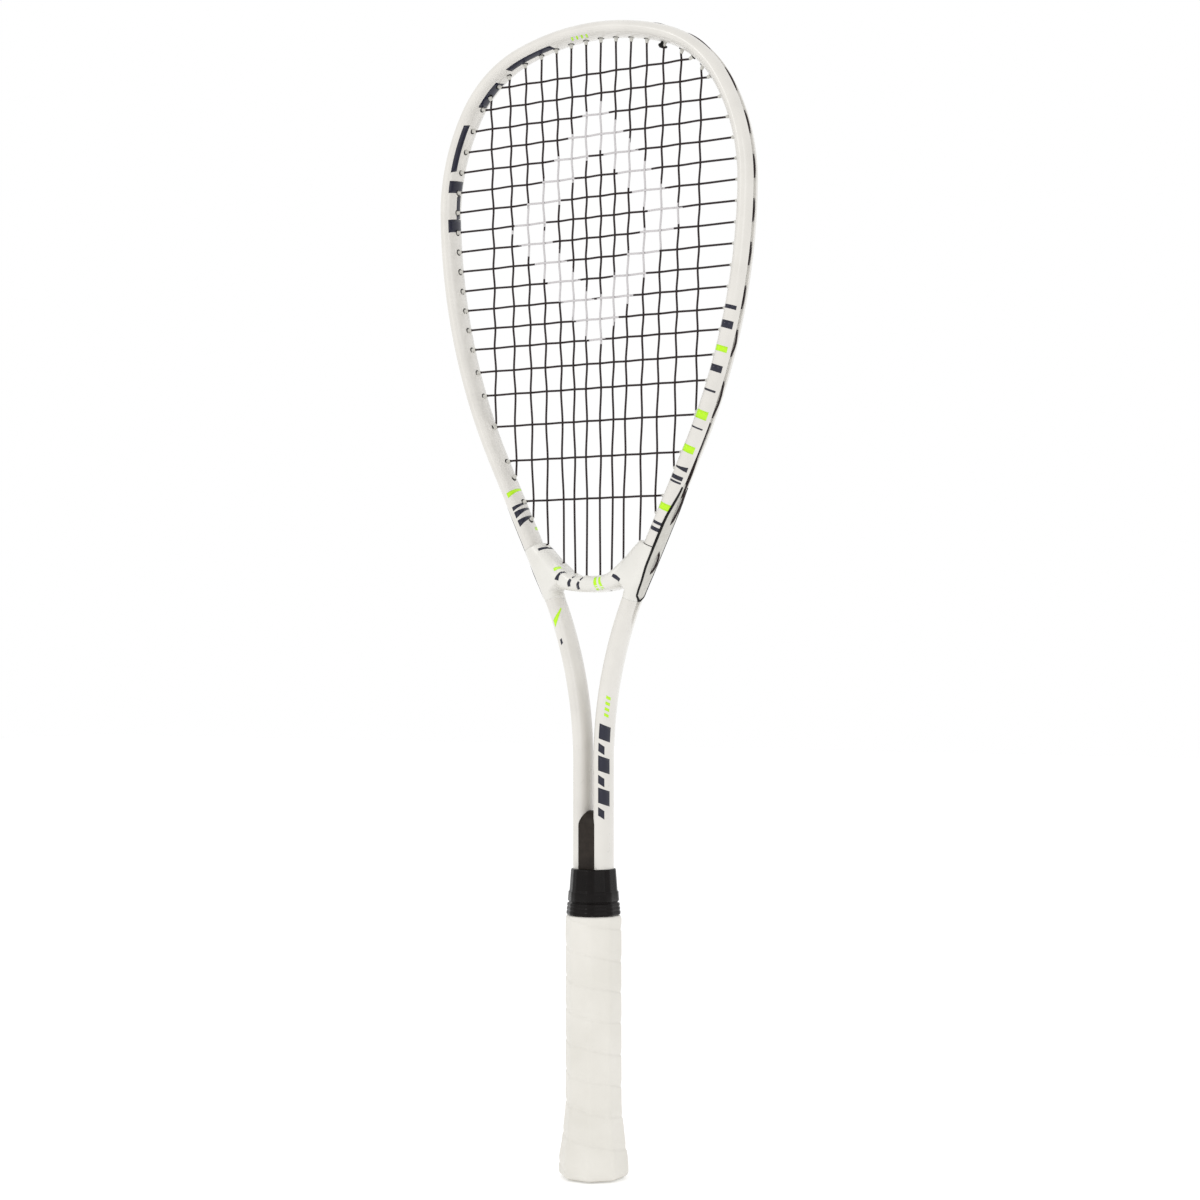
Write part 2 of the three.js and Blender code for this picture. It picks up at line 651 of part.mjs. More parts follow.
const paint = { color: 0xe9e8e3, roughness: 0.25, metalness: 0.2 };
const whitePlastic = { color: 0xe4e3dd, roughness: 0.35, metalness: 0 };
const stripPlastic = { color: 0xb9b6ab, roughness: 0.5, metalness: 0 };
const stringNylon = { color: 0x453c3e, roughness: 0.4, metalness: 0 };
const blackPlastic = { color: 0x2b2826, roughness: 0.6, metalness: 0 };
const blackRubber = { color: 0x2e2a28, roughness: 0.75, metalness: 0 };
const gripFoam = { color: 0xe6e4dc, roughness: 0.7, metalness: 0 };
const handlePlastic = { color: 0x9a9a98, roughness: 0.6, metalness: 0 };
const steel = { color: 0xb4b6b8, roughness: 0.35, metalness: 1 };

const racket = new THREE.Group();

function place(name, made, look) {
  const mesh = new THREE.Mesh(geometryOf(made), new THREE.MeshStandardMaterial(look));
  mesh.name = name;
  racket.add(mesh);
}

place("frame_tube", frameTube(), paint);
place("throat_yoke", throatYoke(), whitePlastic);
for (const [name, made] of Object.entries(grommetStrips())) place(name, made, stripPlastic);
place("yoke_grommet_strip", yokeGrommetStrip(), stripPlastic);
place("main_string", cord(mainRoute(), STRING_R, 3), stringNylon);
place("cross_string", cord(crossRoute(), STRING_R, 3), stringNylon);
place("tie_off_knot", tieOffKnot(), stringNylon);
place("shaft_filler", shaftFiller(), blackPlastic);
for (const [name, made] of Object.entries(handleShells())) place(name, made, handlePlastic);
place("butt_cap", buttCap(), whitePlastic);
place("cap_staple_front", staple(-1, 0), steel);
place("cap_staple_rear", staple(1, 0), steel);
place("grip_wrap", gripWrap(), gripFoam);
place("finishing_tape", finishingTape(), blackPlastic);
place("grip_collar", gripCollar(), blackRubber);

export default racket;
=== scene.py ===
"""Squash racket: the looks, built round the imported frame.

Lengths are in millimetres until a mesh is made, and every mesh is in metres.
+Z runs from the butt to the head, the string bed lies in the XZ plane, the front is -Y.
"""
import math

import bmesh
import bpy
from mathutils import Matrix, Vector, noise
from mathutils.bvhtree import BVHTree


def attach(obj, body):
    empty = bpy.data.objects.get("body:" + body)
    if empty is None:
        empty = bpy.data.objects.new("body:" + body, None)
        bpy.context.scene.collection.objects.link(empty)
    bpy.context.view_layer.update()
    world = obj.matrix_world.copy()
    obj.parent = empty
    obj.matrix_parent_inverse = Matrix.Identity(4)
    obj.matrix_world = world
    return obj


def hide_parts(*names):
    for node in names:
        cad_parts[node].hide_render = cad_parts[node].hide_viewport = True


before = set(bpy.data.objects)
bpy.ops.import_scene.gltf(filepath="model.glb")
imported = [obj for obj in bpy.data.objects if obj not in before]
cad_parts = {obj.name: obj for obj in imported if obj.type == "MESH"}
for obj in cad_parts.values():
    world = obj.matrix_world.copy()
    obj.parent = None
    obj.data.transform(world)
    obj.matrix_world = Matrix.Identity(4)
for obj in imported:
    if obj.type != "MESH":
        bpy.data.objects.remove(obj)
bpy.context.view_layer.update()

MM = 0.001

# ---------------------------------------------------------------- driving dimensions, in mm

APEX_Z = 680.15
HEAD_ARCS = [(150, 19), (70, 41), (119, 31), (365, 24.5)]   # radius, degrees turned
THROAT_RADIUS = 246
SHAFT_X = 7.1
SHAFT_END_Z = 12
TUBE_A, TUBE_B = 4.85, 8.8   # the tube's half width and half depth
GROOVE_HALF = 1.6
GROOVE_DEPTH = 1.9
GROOVE_END_Z, GROOVE_FADE = 325, 14   # below this height the shafts are smooth

STRING_R = 0.64
WEAVE = 0.64        # how far a string sits in front of or behind the bed's middle plane
LOOP_BASE = 4.2     # distance of the loops from the centreline
LOOP_LIFT_ON_PAD = 0.85
LOOP_ARCH = 0.4     # how far a loop bulges outwards
MAIN_ARCH_ON_PAD = 1.3
CROSS_ARCH_ON_PAD = 1.1
TAIL_RUN = 34       # the last main's run along the groove to its tie-off hole
KNOT_Z = 665.6
KNOT_STRING_R = 0.72
KNOT_TURNS = 2.75
MAINS_HEAD_X = [5.1, 15.4, 25.8, 36.4, 48, 59.5, 73]
MAINS_THROAT_X = [4.75, 12.7, 20.8, 31.7, 42, 53.8, 67.8]
MAINS_HEAD_Z, MAINS_THROAT_Z = 670, 380
CROSS_Z = [655 - 12.15 * i for i in range(14)] + [482.9, 468.4, 449, 427.8, 403]
YOKE_MAINS = 4      # mains on each side that enter the yoke
STRAIGHT_MAINS = 2  # mains on each side that pass straight through the bridge
YOKE_TOP_Z = [357.2, 358.8, 365.3, 376.8]   # where those mains enter the yoke
BARREL_REACH = 2.5
TIP = -(TUBE_A + BARREL_REACH)   # a barrel's tip, inwards from the centreline
RIM_SIDES = 14      # sides of the small rings round the strings
STENCIL_MIDDLE = (2.0, 566.0)
STENCIL_SIZE = (60.0, 76.0)
STENCIL_HOLLOW = 0.62   # the share of the lozenge that stays dark inside

STRIP_HALF, STRIP_TOP = 1.42, 3.45
HEAD_STRIP_END_Z, STRIP_END_Z = 600.3, 342
PAD_FROM, PAD_TO = 340.0, 413.8   # distances from the head's top
# The pad's edge as a section angle in degrees, by distance from the head's top.
PAD_EDGE = [(PAD_FROM, 20), (366, 45), (390, 45), (406, 33.5), (411, 30), (PAD_TO, 10)]
PAD_CORD_R = 1.0
PAD_CORD_SINK = 0.68

YOKE_LOW = 347.4
SADDLE_TOP_Z, SADDLE_LOW_Z = 374, 342.5
SADDLE_OUT_A, SADDLE_OUT_B = 5.25, 9.15
BOWL_Z, BOWL_FROM, BOWL_SOFTNESS = 356.8, 13.2, 2.5
BRIDGE_HALF_DEPTH = 8.9
BRIDGE_REACH = 27
YOKE_STRIP_HALF = 15.5

GRIP_TOP_Z = 156
GRIP_HALF = 16
GRIP_LOW_Z = 1.2
GRIP_FLARE = [(GRIP_LOW_Z, 19.3), (3.5, 19.8), (9.6, 19.8), (14, 19.4), (20.3, 18.3), (34, 16.9)]
GRIP_PROFILE = GRIP_FLARE + [(43, GRIP_HALF)]
GRIP_CORNER = 5.2   # radius of the octagon's corners
GRIP_SEAT = 0.65    # how far the wound grip's valleys lie inside its outline
LAP_PITCH = 18.5
LAP_RISE = 0.55

PAINT_LEVELS = (-0.03, 0.035)        # a mark's under and upper side over the tube's surface
YOKE_PAINT_LEVELS = (-0.04, 0.05)    # the same over the yoke's
EDGE_ANGLES = {1: 47.5, -1: 132.6}   # section angle at the right edge in a front view, by side

FILLER_HALF_DEPTH = 8.3
FILLER_LOW_Z, FILLER_TOP_Z = 150, 217.8

WORLD_STRENGTH = 1.0
FLOOR_GLOW = 0.25
CAMERA_TURN = math.radians(31)
CAMERA_DISTANCE = 1364
CAMERA_Z = 305.8
CAMERA_SHIFT = (0.0054, 0.0517)
LENS = 68.93

# ---------------------------------------------------------------- the frame's centreline


class Station:
    """A place on the centreline: position, outward direction and distance from the head's top."""

    def __init__(self, x, z, nx, nz, s):
        self.x, self.z, self.nx, self.nz, self.s = x, z, nx, nz, s

    def at(self, out, y):
        """A point moved outwards and in depth, in mm."""
        return (self.x + self.nx * out, y, self.z + self.nz * out)


def lay_out_half():
    """The right half's stretches from the head's top to the shaft's end.

    Each is (kind, start, x, z, size, turn), where size is an arc's radius or a line's length.
    """
    stretches = []
    x, z, turn, s = 0.0, APEX_Z, 0.0, 0.0
    for radius, degrees in HEAD_ARCS:
        end = turn + math.radians(degrees)
        cx, cz = x - radius * math.sin(turn), z - radius * math.cos(turn)
        stretches.append(("arc", s, cx, cz, radius, turn))
        x, z = cx + radius * math.sin(end), cz + radius * math.cos(end)
        s += radius * (end - turn)
        turn = end
    length = (x - THROAT_RADIUS * (1 - math.sin(turn)) - SHAFT_X) / -math.cos(turn)
    stretches.append(("line", s, x, z, length, turn))
    x += length * math.cos(turn)
    z -= length * math.sin(turn)
    s += length
    cx, cz = x + THROAT_RADIUS * math.sin(turn), z + THROAT_RADIUS * math.cos(turn)
    stretches.append(("arc", s, cx, cz, -THROAT_RADIUS, turn))
    s += THROAT_RADIUS * (turn - math.pi / 2)
    stretches.append(("line", s, SHAFT_X, cz, cz - SHAFT_END_Z, math.pi / 2))
    return stretches


HALF = lay_out_half()
HALF_LENGTH = HALF[-1][1] + HALF[-1][4]


def station(s):
    """The place at a signed distance from the head's top, positive on the right."""
    side = 1 if s >= 0 else -1
    d = min(abs(s), HALF_LENGTH)
    kind, start, px, pz, size, turn = [h for h in HALF if h[1] <= d + 1e-9][-1]
    if kind == "arc":
        turn += (d - start) / size
        x, z = px + size * math.sin(turn), pz + size * math.cos(turn)
    else:
        x, z = px + (d - start) * math.cos(turn), pz - (d - start) * math.sin(turn)
    return Station(side * x, z, side * math.sin(turn), math.cos(turn), s)


TABLE = [station(HALF_LENGTH * i / 1500) for i in range(1501)]


def nearest(x, z):
    """The station nearest to a point of either side."""
    best = min(TABLE, key=lambda t: (t.x - abs(x)) ** 2 + (t.z - z) ** 2)
    return station(best.s if x >= 0 else -best.s)


def offset_of(x, z):
    """How far outwards a point lies from the centreline."""
    n = nearest(x, z)
    return (x - n.x) * n.nx + (z - n.z) * n.nz


def s_at_height(z):
    """How far down the right half the centreline passes a height."""
    return min(TABLE, key=lambda t: abs(t.z - z)).s


# ---------------------------------------------------------------- meshes


def add_mesh(name, build, material, node=None):
    """A piece from a builder with the given materials. It replaces a CAD node if one is given."""
    mesh = bpy.data.meshes.new(name)
    mesh.from_pydata([(x * MM, y * MM, z * MM) for x, y, z in build.verts], [], build.faces)
    mesh.validate()
    obj = bpy.data.objects.new(name, mesh)
    bpy.context.scene.collection.objects.link(obj)
    outward(obj)
    for polygon in mesh.polygons:
        polygon.use_smooth = True
    for one in material if isinstance(material, (list, tuple)) else [material]:
        mesh.materials.append(one)
    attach(obj, "root")
    if node:
        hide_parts(node)
    return obj


def outward(obj):
    """Turns every face of a closed mesh outwards."""
    bm = bmesh.new()
    bm.from_mesh(obj.data)
    bmesh.ops.recalc_face_normals(bm, faces=bm.faces)
    bm.to_mesh(obj.data)
    bm.free()


class Builder:
    """Collects closed shells of rings into one list of points and faces."""

    def __init__(self):
        self.verts, self.faces = [], []

    def skin(self, rings, closed=False):
        """A shell over rings of equally many points: capped at its ends, or joined end to end."""
        base, sides = len(self.verts), len(rings[0])
        for ring in rings:
            self.verts.extend(ring)
        pairs = len(rings) if closed else len(rings) - 1
        for i in range(pairs):
            a, b = base + i * sides, base + ((i + 1) % len(rings)) * sides
            for j in range(sides):
                k = (j + 1) % sides
                self.faces.append((a + j, a + k, b + k, b + j))
        if not closed:
            last = base + (len(rings) - 1) * sides
            self.faces.append(tuple(range(base + sides - 1, base - 1, -1)))
            self.faces.append(tuple(range(last, last + sides)))

    def grid(self, under, over):
        """A thin closed shell from two equal grids of points, one below the other."""
        base, rows, cols = len(self.verts), len(under), len(under[0])
        for sheet in (under, over):
            for row in sheet:
                self.verts.extend(row)
        top = base + rows * cols
        for i in range(rows - 1):
            for j in range(cols - 1):
                a = i * cols + j
                quad = (a, a + 1, a + cols + 1, a + cols)
                self.faces.append(tuple(top + v for v in quad))
                self.faces.append(tuple(base + v for v in reversed(quad)))
        rim = list(range(cols))
        rim += [i * cols + cols - 1 for i in range(1, rows)]
        rim += [(rows - 1) * cols + j for j in range(cols - 2, -1, -1)]
        rim += [i * cols for i in range(rows - 2, 0, -1)]
        for a, b in zip(rim, rim[1:] + rim[:1]):
            self.faces.append((base + a, base + b, top + b, top + a))


def turns(count):
    """Angles evenly spread round a full turn."""
    return [2 * math.pi * k / count for k in range(count)]


def tube_rings(points, radius, sides=8):
    """Rings round a path of points, its cross direction always along the bed's depth."""
    rings = []
    depth = Vector((0, 1, 0))
    vectors = [Vector(p) for p in points]
    for i, p in enumerate(vectors):
        before, after = vectors[max(i - 1, 0)], vectors[min(i + 1, len(vectors) - 1)]
        tangent = Vector((0, 0, 0))
        if i > 0:
            tangent += (p - before).normalized()
        if i < len(vectors) - 1:
            tangent += (after - p).normalized()
        tangent.normalize()
        across = depth.cross(tangent).normalized()
        up = tangent.cross(across)
        rings.append([
            tuple(p + across * (radius * math.cos(t)) + up * (radius * math.sin(t)))
            for t in turns(sides)
        ])
    return rings


def laid_rings(points, radius, sides, upwards):
    """Rings round a path of vectors, turned to an upward direction given at each point."""
    rings = []
    for i, p in enumerate(points):
        ahead = (points[min(i + 1, len(points) - 1)] - points[max(i - 1, 0)]).normalized()
        across = ahead.cross(upwards(p)).normalized()
        lift = across.cross(ahead)
        rings.append([
            tuple(p + (across * math.cos(t) + lift * math.sin(t)) * radius)
            for t in turns(sides)
        ])
    return rings


def outwards(p):
    """The frame's outward direction at the station nearest to a point."""
    st = nearest(p.x, p.z)
    return Vector((st.nx, 0, st.nz))


def ease(t):
    """A smooth step from 0 to 1."""
    t = min(max(t, 0.0), 1.0)
    return t * t * (3 - 2 * t)


# ---------------------------------------------------------------- materials


def srgb(r, g, b):
    """A colour of 0 to 255 sRGB values as the linear colour that a shader takes."""
    def linear(c):
        c /= 255
        return c / 12.92 if c <= 0.04045 else ((c + 0.055) / 1.055) ** 2.4
    return (linear(r), linear(g), linear(b), 1)


class Look:
    """A node material round one Principled shader, with helpers for its procedural detail."""

    def __init__(self, name, **sockets):
        self.material = bpy.data.materials.new(name)
        self.material.use_nodes = True
        self.nodes = self.material.node_tree.nodes
        self.links = self.material.node_tree.links
        self.shader = self.nodes["Principled BSDF"]
        for socket, value in sockets.items():
            self.shader.inputs[socket.replace("_", " ")].default_value = value
        self.place = self.nodes.new("ShaderNodeNewGeometry").outputs["Position"]

    def noise(self, scale, detail=3, stretch=None):
        node = self.nodes.new("ShaderNodeTexNoise")
        node.inputs["Scale"].default_value = scale
        node.inputs["Detail"].default_value = detail
        source = self.place
        if stretch:
            mapping = self.nodes.new("ShaderNodeMapping")
            mapping.inputs["Scale"].default_value = stretch
            self.links.new(self.place, mapping.inputs["Vector"])
            source = mapping.outputs["Vector"]
        self.links.new(source, node.inputs["Vector"])
        return node.outputs["Fac"]

    def ramp(self, factor, low, high):
        """Spreads a factor between two values, each a number or a colour."""
        node = self.nodes.new("ShaderNodeValToRGB")
        for element, value in zip(node.color_ramp.elements, (low, high)):
            element.color = value if isinstance(value, tuple) else (value, value, value, 1)
        node.color_ramp.elements[0].position = 0.3
        node.color_ramp.elements[1].position = 0.7
        self.links.new(factor, node.inputs["Fac"])
        return node.outputs["Color"]

    def colour(self, factor, low, high):
        self.links.new(self.ramp(factor, low, high), self.shader.inputs["Base Color"])

    def roughness(self, factor, low, high):
        self.links.new(self.ramp(factor, low, high), self.shader.inputs["Roughness"])

    def bump(self, factor, distance, strength=1.0):
        node = self.nodes.new("ShaderNodeBump")
        node.inputs["Distance"].default_value = distance * MM
        node.inputs["Strength"].default_value = strength
        self.links.new(factor, node.inputs["Height"])
        if self.shader.inputs["Normal"].is_linked:
            before = self.shader.inputs["Normal"].links[0].from_socket
            self.links.new(before, node.inputs["Normal"])
        self.links.new(node.outputs["Normal"], self.shader.inputs["Normal"])


def paint(name, low, high, coat):
    """Sprayed gloss paint: faint orange peel, a hint of colour drift and a clear coat."""
    look = Look(name, Coat_Weight=coat, Coat_Roughness=0.16, Specular_IOR_Level=0.4)
    look.colour(look.noise(60, 4), low, high)
    look.roughness(look.noise(250, 2), 0.27, 0.32)
    look.bump(look.noise(1400, 2), 0.004)
    return look.material


WHITE = paint("frame_white", srgb(207, 204, 198), srgb(214, 211, 205), coat=0.45)
YOKE_WHITE = paint("yoke_white", srgb(211, 209, 203), srgb(218, 216, 210), coat=0.3)
NAVY = paint("decal_navy", srgb(12, 14, 34), srgb(17, 19, 42), coat=0.1)
LIME = paint("decal_lime", srgb(172, 226, 8), srgb(182, 234, 18), coat=0.1)


def strip_look():
    """Translucent grey-beige nylon with moulding haze."""
    look = Look("strip_nylon")
    look.colour(look.noise(500, 3), srgb(184, 182, 175), srgb(195, 193, 186))
    look.roughness(look.noise(800, 2), 0.38, 0.55)
    look.bump(look.noise(2500, 2), 0.01)
    return look.material


def string_look(name, low, high):
    """Multifilament nylon: twisted fibres under a satin coat."""
    look = Look(name, Coat_Weight=0.05, Coat_Roughness=0.2, Specular_IOR_Level=0.2)
    look.colour(look.noise(900, 3), low, high)
    look.roughness(look.noise(2500, 2), 0.34, 0.5)
    look.bump(look.noise(6000, 2), 0.02)
    return look.material


def rubber_look(name, low, high, rough, gloss=0.45):
    """Moulded rubber or plastic: fine grain and a soft sheen."""
    look = Look(name, Specular_IOR_Level=gloss)
    look.colour(look.noise(300, 4), low, high)
    look.roughness(look.noise(1200, 3), rough, rough + 0.16)
    look.bump(look.noise(3500, 3), 0.02)
    return look.material


def grip_look():
    """Cream synthetic leather: fine pores, soft sheen and faint handling tone."""
    look = Look("grip_cream", Sheen_Weight=0.15, Sheen_Roughness=0.5, Specular_IOR_Level=0.35)
    look.colour(look.noise(35, 5), srgb(209, 206, 198), srgb(218, 215, 208))
    look.roughness(look.noise(700, 3), 0.52, 0.68)
    look.bump(look.noise(2600, 3), 0.05)
    look.bump(look.noise(260, 3), 0.12, 0.5)
    return look.material


def steel_look():
    look = Look("staple_steel", Metallic=1.0)
    look.colour(look.noise(900, 2, (1, 1, 8)), srgb(170, 172, 175), srgb(196, 198, 200))
    look.roughness(look.noise(1500, 2), 0.28, 0.42)
    return look.material


STRIP = strip_look()
STRING = string_look("string_dark", srgb(30, 21, 22), srgb(43, 32, 33))
STENCIL = string_look("string_stencil", srgb(186, 183, 184), srgb(198, 195, 196))
FILLER = rubber_look("filler_black", srgb(33, 28, 24), srgb(46, 40, 35), 0.42, 0.14)
RUBBER = rubber_look("collar_rubber", srgb(9, 6, 5), srgb(15, 11, 10), 0.22, 0.13)
# One dark finish for the knot and the finishing tape, and also for the painted shade in the holes, along
# the pad edges and under the sleeve's step.
DARK_AND_SHADE = rubber_look("dark_and_painted_shade", srgb(10, 9, 9), srgb(16, 15, 14), 0.6, 0.2)
GRIP = grip_look()
CAP = rubber_look("cap_white", srgb(206, 203, 193), srgb(214, 211, 202), 0.42)
HANDLE = rubber_look("handle_grey", srgb(150, 150, 148), srgb(165, 165, 162), 0.55)
STEEL = steel_look()

# ---------------------------------------------------------------- the frame tube

LIP_T = math.asin(GROOVE_HALF / TUBE_B)


def tube_section(open_share):
    """The tube's outline as (out, y), with softened lips round the string groove.

    An open share of 1 has the full groove and 0 is a smooth tube.
    """
    lip_out = TUBE_A * math.cos(LIP_T)
    floor = lip_out - GROOVE_DEPTH
    points = []
    steps = 44
    for i in range(steps + 1):
        t = LIP_T * 1.25 + (2 * math.pi - 2.5 * LIP_T) * i / steps
        points.append((TUBE_A * math.cos(t), TUBE_B * math.sin(t)))
    groove = [(lip_out - 0.02, -GROOVE_HALF - 0.12), (lip_out - 0.25, -GROOVE_HALF)]
    groove += [(floor + 0.3, -GROOVE_HALF + 0.06), (floor, -GROOVE_HALF + 0.35)]
    groove += [(floor, 0), (floor, GROOVE_HALF - 0.35), (floor + 0.3, GROOVE_HALF - 0.06)]
    groove += [(lip_out - 0.25, GROOVE_HALF), (lip_out - 0.02, GROOVE_HALF + 0.12)]
    for out, y in groove:
        skin = TUBE_A * math.sqrt(1 - (y / TUBE_B) ** 2)
        points.append((skin + (out - skin) * open_share, y))
    return points


def path(s0, s1, step=3.0):
    """Stations evenly spread from one distance to another, both included."""
    count = max(2, math.ceil(abs(s1 - s0) / step))
    return [station(s0 + (s1 - s0) * i / count) for i in range(count + 1)]


def make_tube():
    build = Builder()
    rings = []
    for st in path(-HALF_LENGTH, HALF_LENGTH):
        open_share = ease((st.z - GROOVE_END_Z) / GROOVE_FADE)
        rings.append([st.at(n, y) for n, y in tube_section(open_share)])
    build.skin(rings)
    add_mesh("frame_tube_fine", build, WHITE, "frame_tube")


# ---------------------------------------------------------------- strings


def main_x(i, z):
    """How far from the middle a main runs at a height, counted from the middle outwards."""
    rise = (z - MAINS_THROAT_Z) / (MAINS_HEAD_Z - MAINS_THROAT_Z)
    return MAINS_THROAT_X[i] + (MAINS_HEAD_X[i] - MAINS_THROAT_X[i]) * rise


def solve(outside, inside, wanted):
    """The point between two points where the distance from the centreline takes a value."""
    far, near = 0.0, 1.0
    for _ in range(18):
        middle = (far + near) / 2
        p = [a + (b - a) * middle for a, b in zip(outside, inside)]
        if offset_of(*p) > wanted:
            far = middle
        else:
            near = middle
    return [a + (b - a) * near for a, b in zip(outside, inside)]


class End:
    """A string end on one side: its barrel's tip, the way through the tube and the groove's place."""

    def __init__(self, outside, inside, blend):
        x, z = solve(outside, inside, TIP)
        st = nearest(x, z)
        along = Vector((outside[0] - inside[0], 0, outside[1] - inside[1])).normalized()
        normal = Vector((st.nx, 0, st.nz))
        self.tip = Vector((x, 0, z))
        self.dir = (normal * (1 - blend) + along * blend).normalized()
        self.square = self.dir.dot(normal)

    def at(self, offset):
        """The point on the way through the tube at an offset from the centreline."""
        return self.tip + self.dir * ((offset - TIP) / self.square)


def mirror(v):
    return Vector((-v.x, v.y, v.z))


class YokeEnd(End):
    """A main that enters the yoke and passes square through the yoke and the tube."""

    def __init__(self, x, z):
        st = nearest(x, z)
        self.tip = Vector((x, 0, z))
        self.dir = Vector((st.nx, 0, st.nz))
        self.depth = offset_of(x, z)

    def at(self, offset):
        return self.tip + self.dir * (offset - self.depth)


HEAD_ENDS = [End((main_x(i, 700), 700), (main_x(i, 600), 600), 0.5) for i in range(7)]
THROAT_ENDS = {i: End((main_x(i, 330), 330), (main_x(i, 470), 470), 0.3) for i in range(YOKE_MAINS, 7)}
CROSS_ENDS = [End((125, z), (35, z), 0.5) for z in CROSS_Z]
for i in range(STRAIGHT_MAINS, YOKE_MAINS):
    THROAT_ENDS[i] = YokeEnd(main_x(i, YOKE_TOP_Z[i]), YOKE_TOP_Z[i])
COLUMNS = [(-1, i) for i in range(6, -1, -1)] + [(1, i) for i in range(7)]


def turned(side, v):
    """A point of the right side, or its mirror image for the left side."""
    v = Vector(v)
    return v if side > 0 else mirror(v)


def weave(column, row):
    """A main's depth where it crosses a row, behind and in front in turn."""
    return WEAVE if (column + row) % 2 == 0 else -WEAVE


def wavy(points):
    """Extra points between crossings, so that a string curves over and under smoothly."""
    out = []
    for a, b in zip(points, points[1:]):
        out.append(a)
        for t in (0.2, 0.4, 0.6, 0.8):
            p = a.lerp(b, t)
            p.y = a.y + (b.y - a.y) * ease(t)
            out.append(p)
    out.append(points[-1])
    return out


def loop_points(a, b, arch):
    """The string's run along the groove from one end to the next, arched outwards."""
    points = []
    for i in range(9):
        t = i / 8
        p = a.lerp(b, t)
        st = nearest(p.x, p.z)
        lift = loop_base(st.s) + arch * math.sin(math.pi * t)
        points.append(Vector(st.at(lift, 0)))
    return points


def loop_base(s):
    """How far out the loops run: just over the groove, and over the pad towards the throat."""
    return LOOP_BASE + LOOP_LIFT_ON_PAD * ease((abs(s) - PAD_FROM) / 10)


def make_mains():
    build, routes = Builder(), []
    for column, (side, i) in enumerate(COLUMNS):
        if i < STRAIGHT_MAINS:
            low = [turned(side, (main_x(i, YOKE_TOP_Z[i] - 7), 0, YOKE_TOP_Z[i] - 7))]
        else:
            low = [turned(side, THROAT_ENDS[i].at(LOOP_BASE)), turned(side, THROAT_ENDS[i].tip)]
        bed = []
        for row in range(len(CROSS_Z) - 1, -1, -1):
            z = CROSS_Z[row]
            if CROSS_ENDS[row].tip.x > main_x(i, z) + 0.5:
                bed.append(turned(side, (main_x(i, z), weave(column, row), z)))
        high = [turned(side, HEAD_ENDS[i].tip), turned(side, HEAD_ENDS[i].at(LOOP_BASE))]
        stretch = (low[:-1] if len(low) > 1 else []) + wavy([low[-1]] + bed + [high[0]]) + [high[1]]
        routes.append(stretch if column % 2 == 0 else stretch[::-1])
    points = list(routes[0])
    for column in range(1, 14):
        i, j = COLUMNS[column - 1][1], COLUMNS[column][1]
        if column % 2 == 1 or min(i, j) >= STRAIGHT_MAINS:
            arch = MAIN_ARCH_ON_PAD if points[-1].z < 450 else LOOP_ARCH
            points += loop_points(points[-1], routes[column][0], arch)[1:-1]
        elif max(i, j) == 1:
            a, b = points[-1].copy(), routes[column][0].copy()
            a.z = b.z = YOKE_LOW + 0.9
            points += [a, a.lerp(b, 0.5), b]
        points += routes[column]
    # The last main runs on along the groove to its tie-off hole.
    end = nearest(points[-1].x, points[-1].z).s
    points += [Vector(st.at(loop_base(st.s), 0)) for st in path(end, end + TAIL_RUN, 4)[1:]]
    points.append(Vector(station(end + TAIL_RUN + 2).at(LOOP_BASE - 3, 0)))
    build.skin(tube_rings(points, STRING_R))
    finish_string("main_string_fine", build, "main_string")


def make_crosses():
    build, points = Builder(), []
    for row, z in enumerate(CROSS_Z):
        end = CROSS_ENDS[row]
        bed = [mirror(end.tip)]
        for column, (side, i) in enumerate(COLUMNS):
            if end.tip.x > main_x(i, z) + 0.5:
                bed.append(Vector((side * main_x(i, z), -weave(column, row), z)))
        bed.append(end.tip.copy())
        stretch = [mirror(end.at(LOOP_BASE))] + wavy(bed) + [end.at(LOOP_BASE)]
        if row % 2 == 0:
            stretch.reverse()
        if row:
            arch = LOOP_ARCH if z > 500 else CROSS_ARCH_ON_PAD
            points += loop_points(points[-1], stretch[0], arch)[1:-1]
        points += stretch
    build.skin(tube_rings(points, STRING_R))
    finish_string("cross_string_fine", build, "cross_string")


def in_stencil(x, z):
    """Whether a place lies on the plain lozenge band painted across the string bed."""
    reach = abs(x - STENCIL_MIDDLE[0]) / STENCIL_SIZE[0] + abs(z - STENCIL_MIDDLE[1]) / STENCIL_SIZE[1]
    return STENCIL_HOLLOW < reach < 1.0


def finish_string(name, build, node):
    """Makes a string's mesh and gives its stretches inside the stencil the lighter look."""
    obj = add_mesh(name, build, [STRING, STENCIL], node)
    for polygon in obj.data.polygons:
        c = polygon.center / MM
        if abs(c.y) < 2 and in_stencil(c.x, c.z):
            polygon.material_index = 1


def make_knot():
    """Turns of string drawn tight round the fifth main against the tube, with a short cut tail."""
    points = []
    x, z = main_x(4, KNOT_Z), KNOT_Z
    for i in range(49):
        t = 2 * math.pi * KNOT_TURNS * i / 48
        lean = -0.75 + 0.75 * math.cos(t * 0.36)
        wide = 1.25 + 0.2 * math.sin(t * 0.8)
        points.append(Vector((x + lean + wide * math.cos(t), wide * math.sin(t), z - 1.4 + 2.8 * i / 48)))
    points += [Vector((x - 2.0, -0.9, z - 0.2)), Vector((x - 2.3, -0.2, z - 1.0))]
    build = Builder()
    build.skin(laid_rings(points, KNOT_STRING_R, 8, lambda p: Vector((0, 0, 1))))
    add_mesh("tie_off_knot_fine", build, DARK_AND_SHADE, "tie_off_knot")


# ---------------------------------------------------------------- grommet strips

HEAD_STRIP_END = s_at_height(HEAD_STRIP_END_Z)
STRIP_END = s_at_height(STRIP_END_Z)


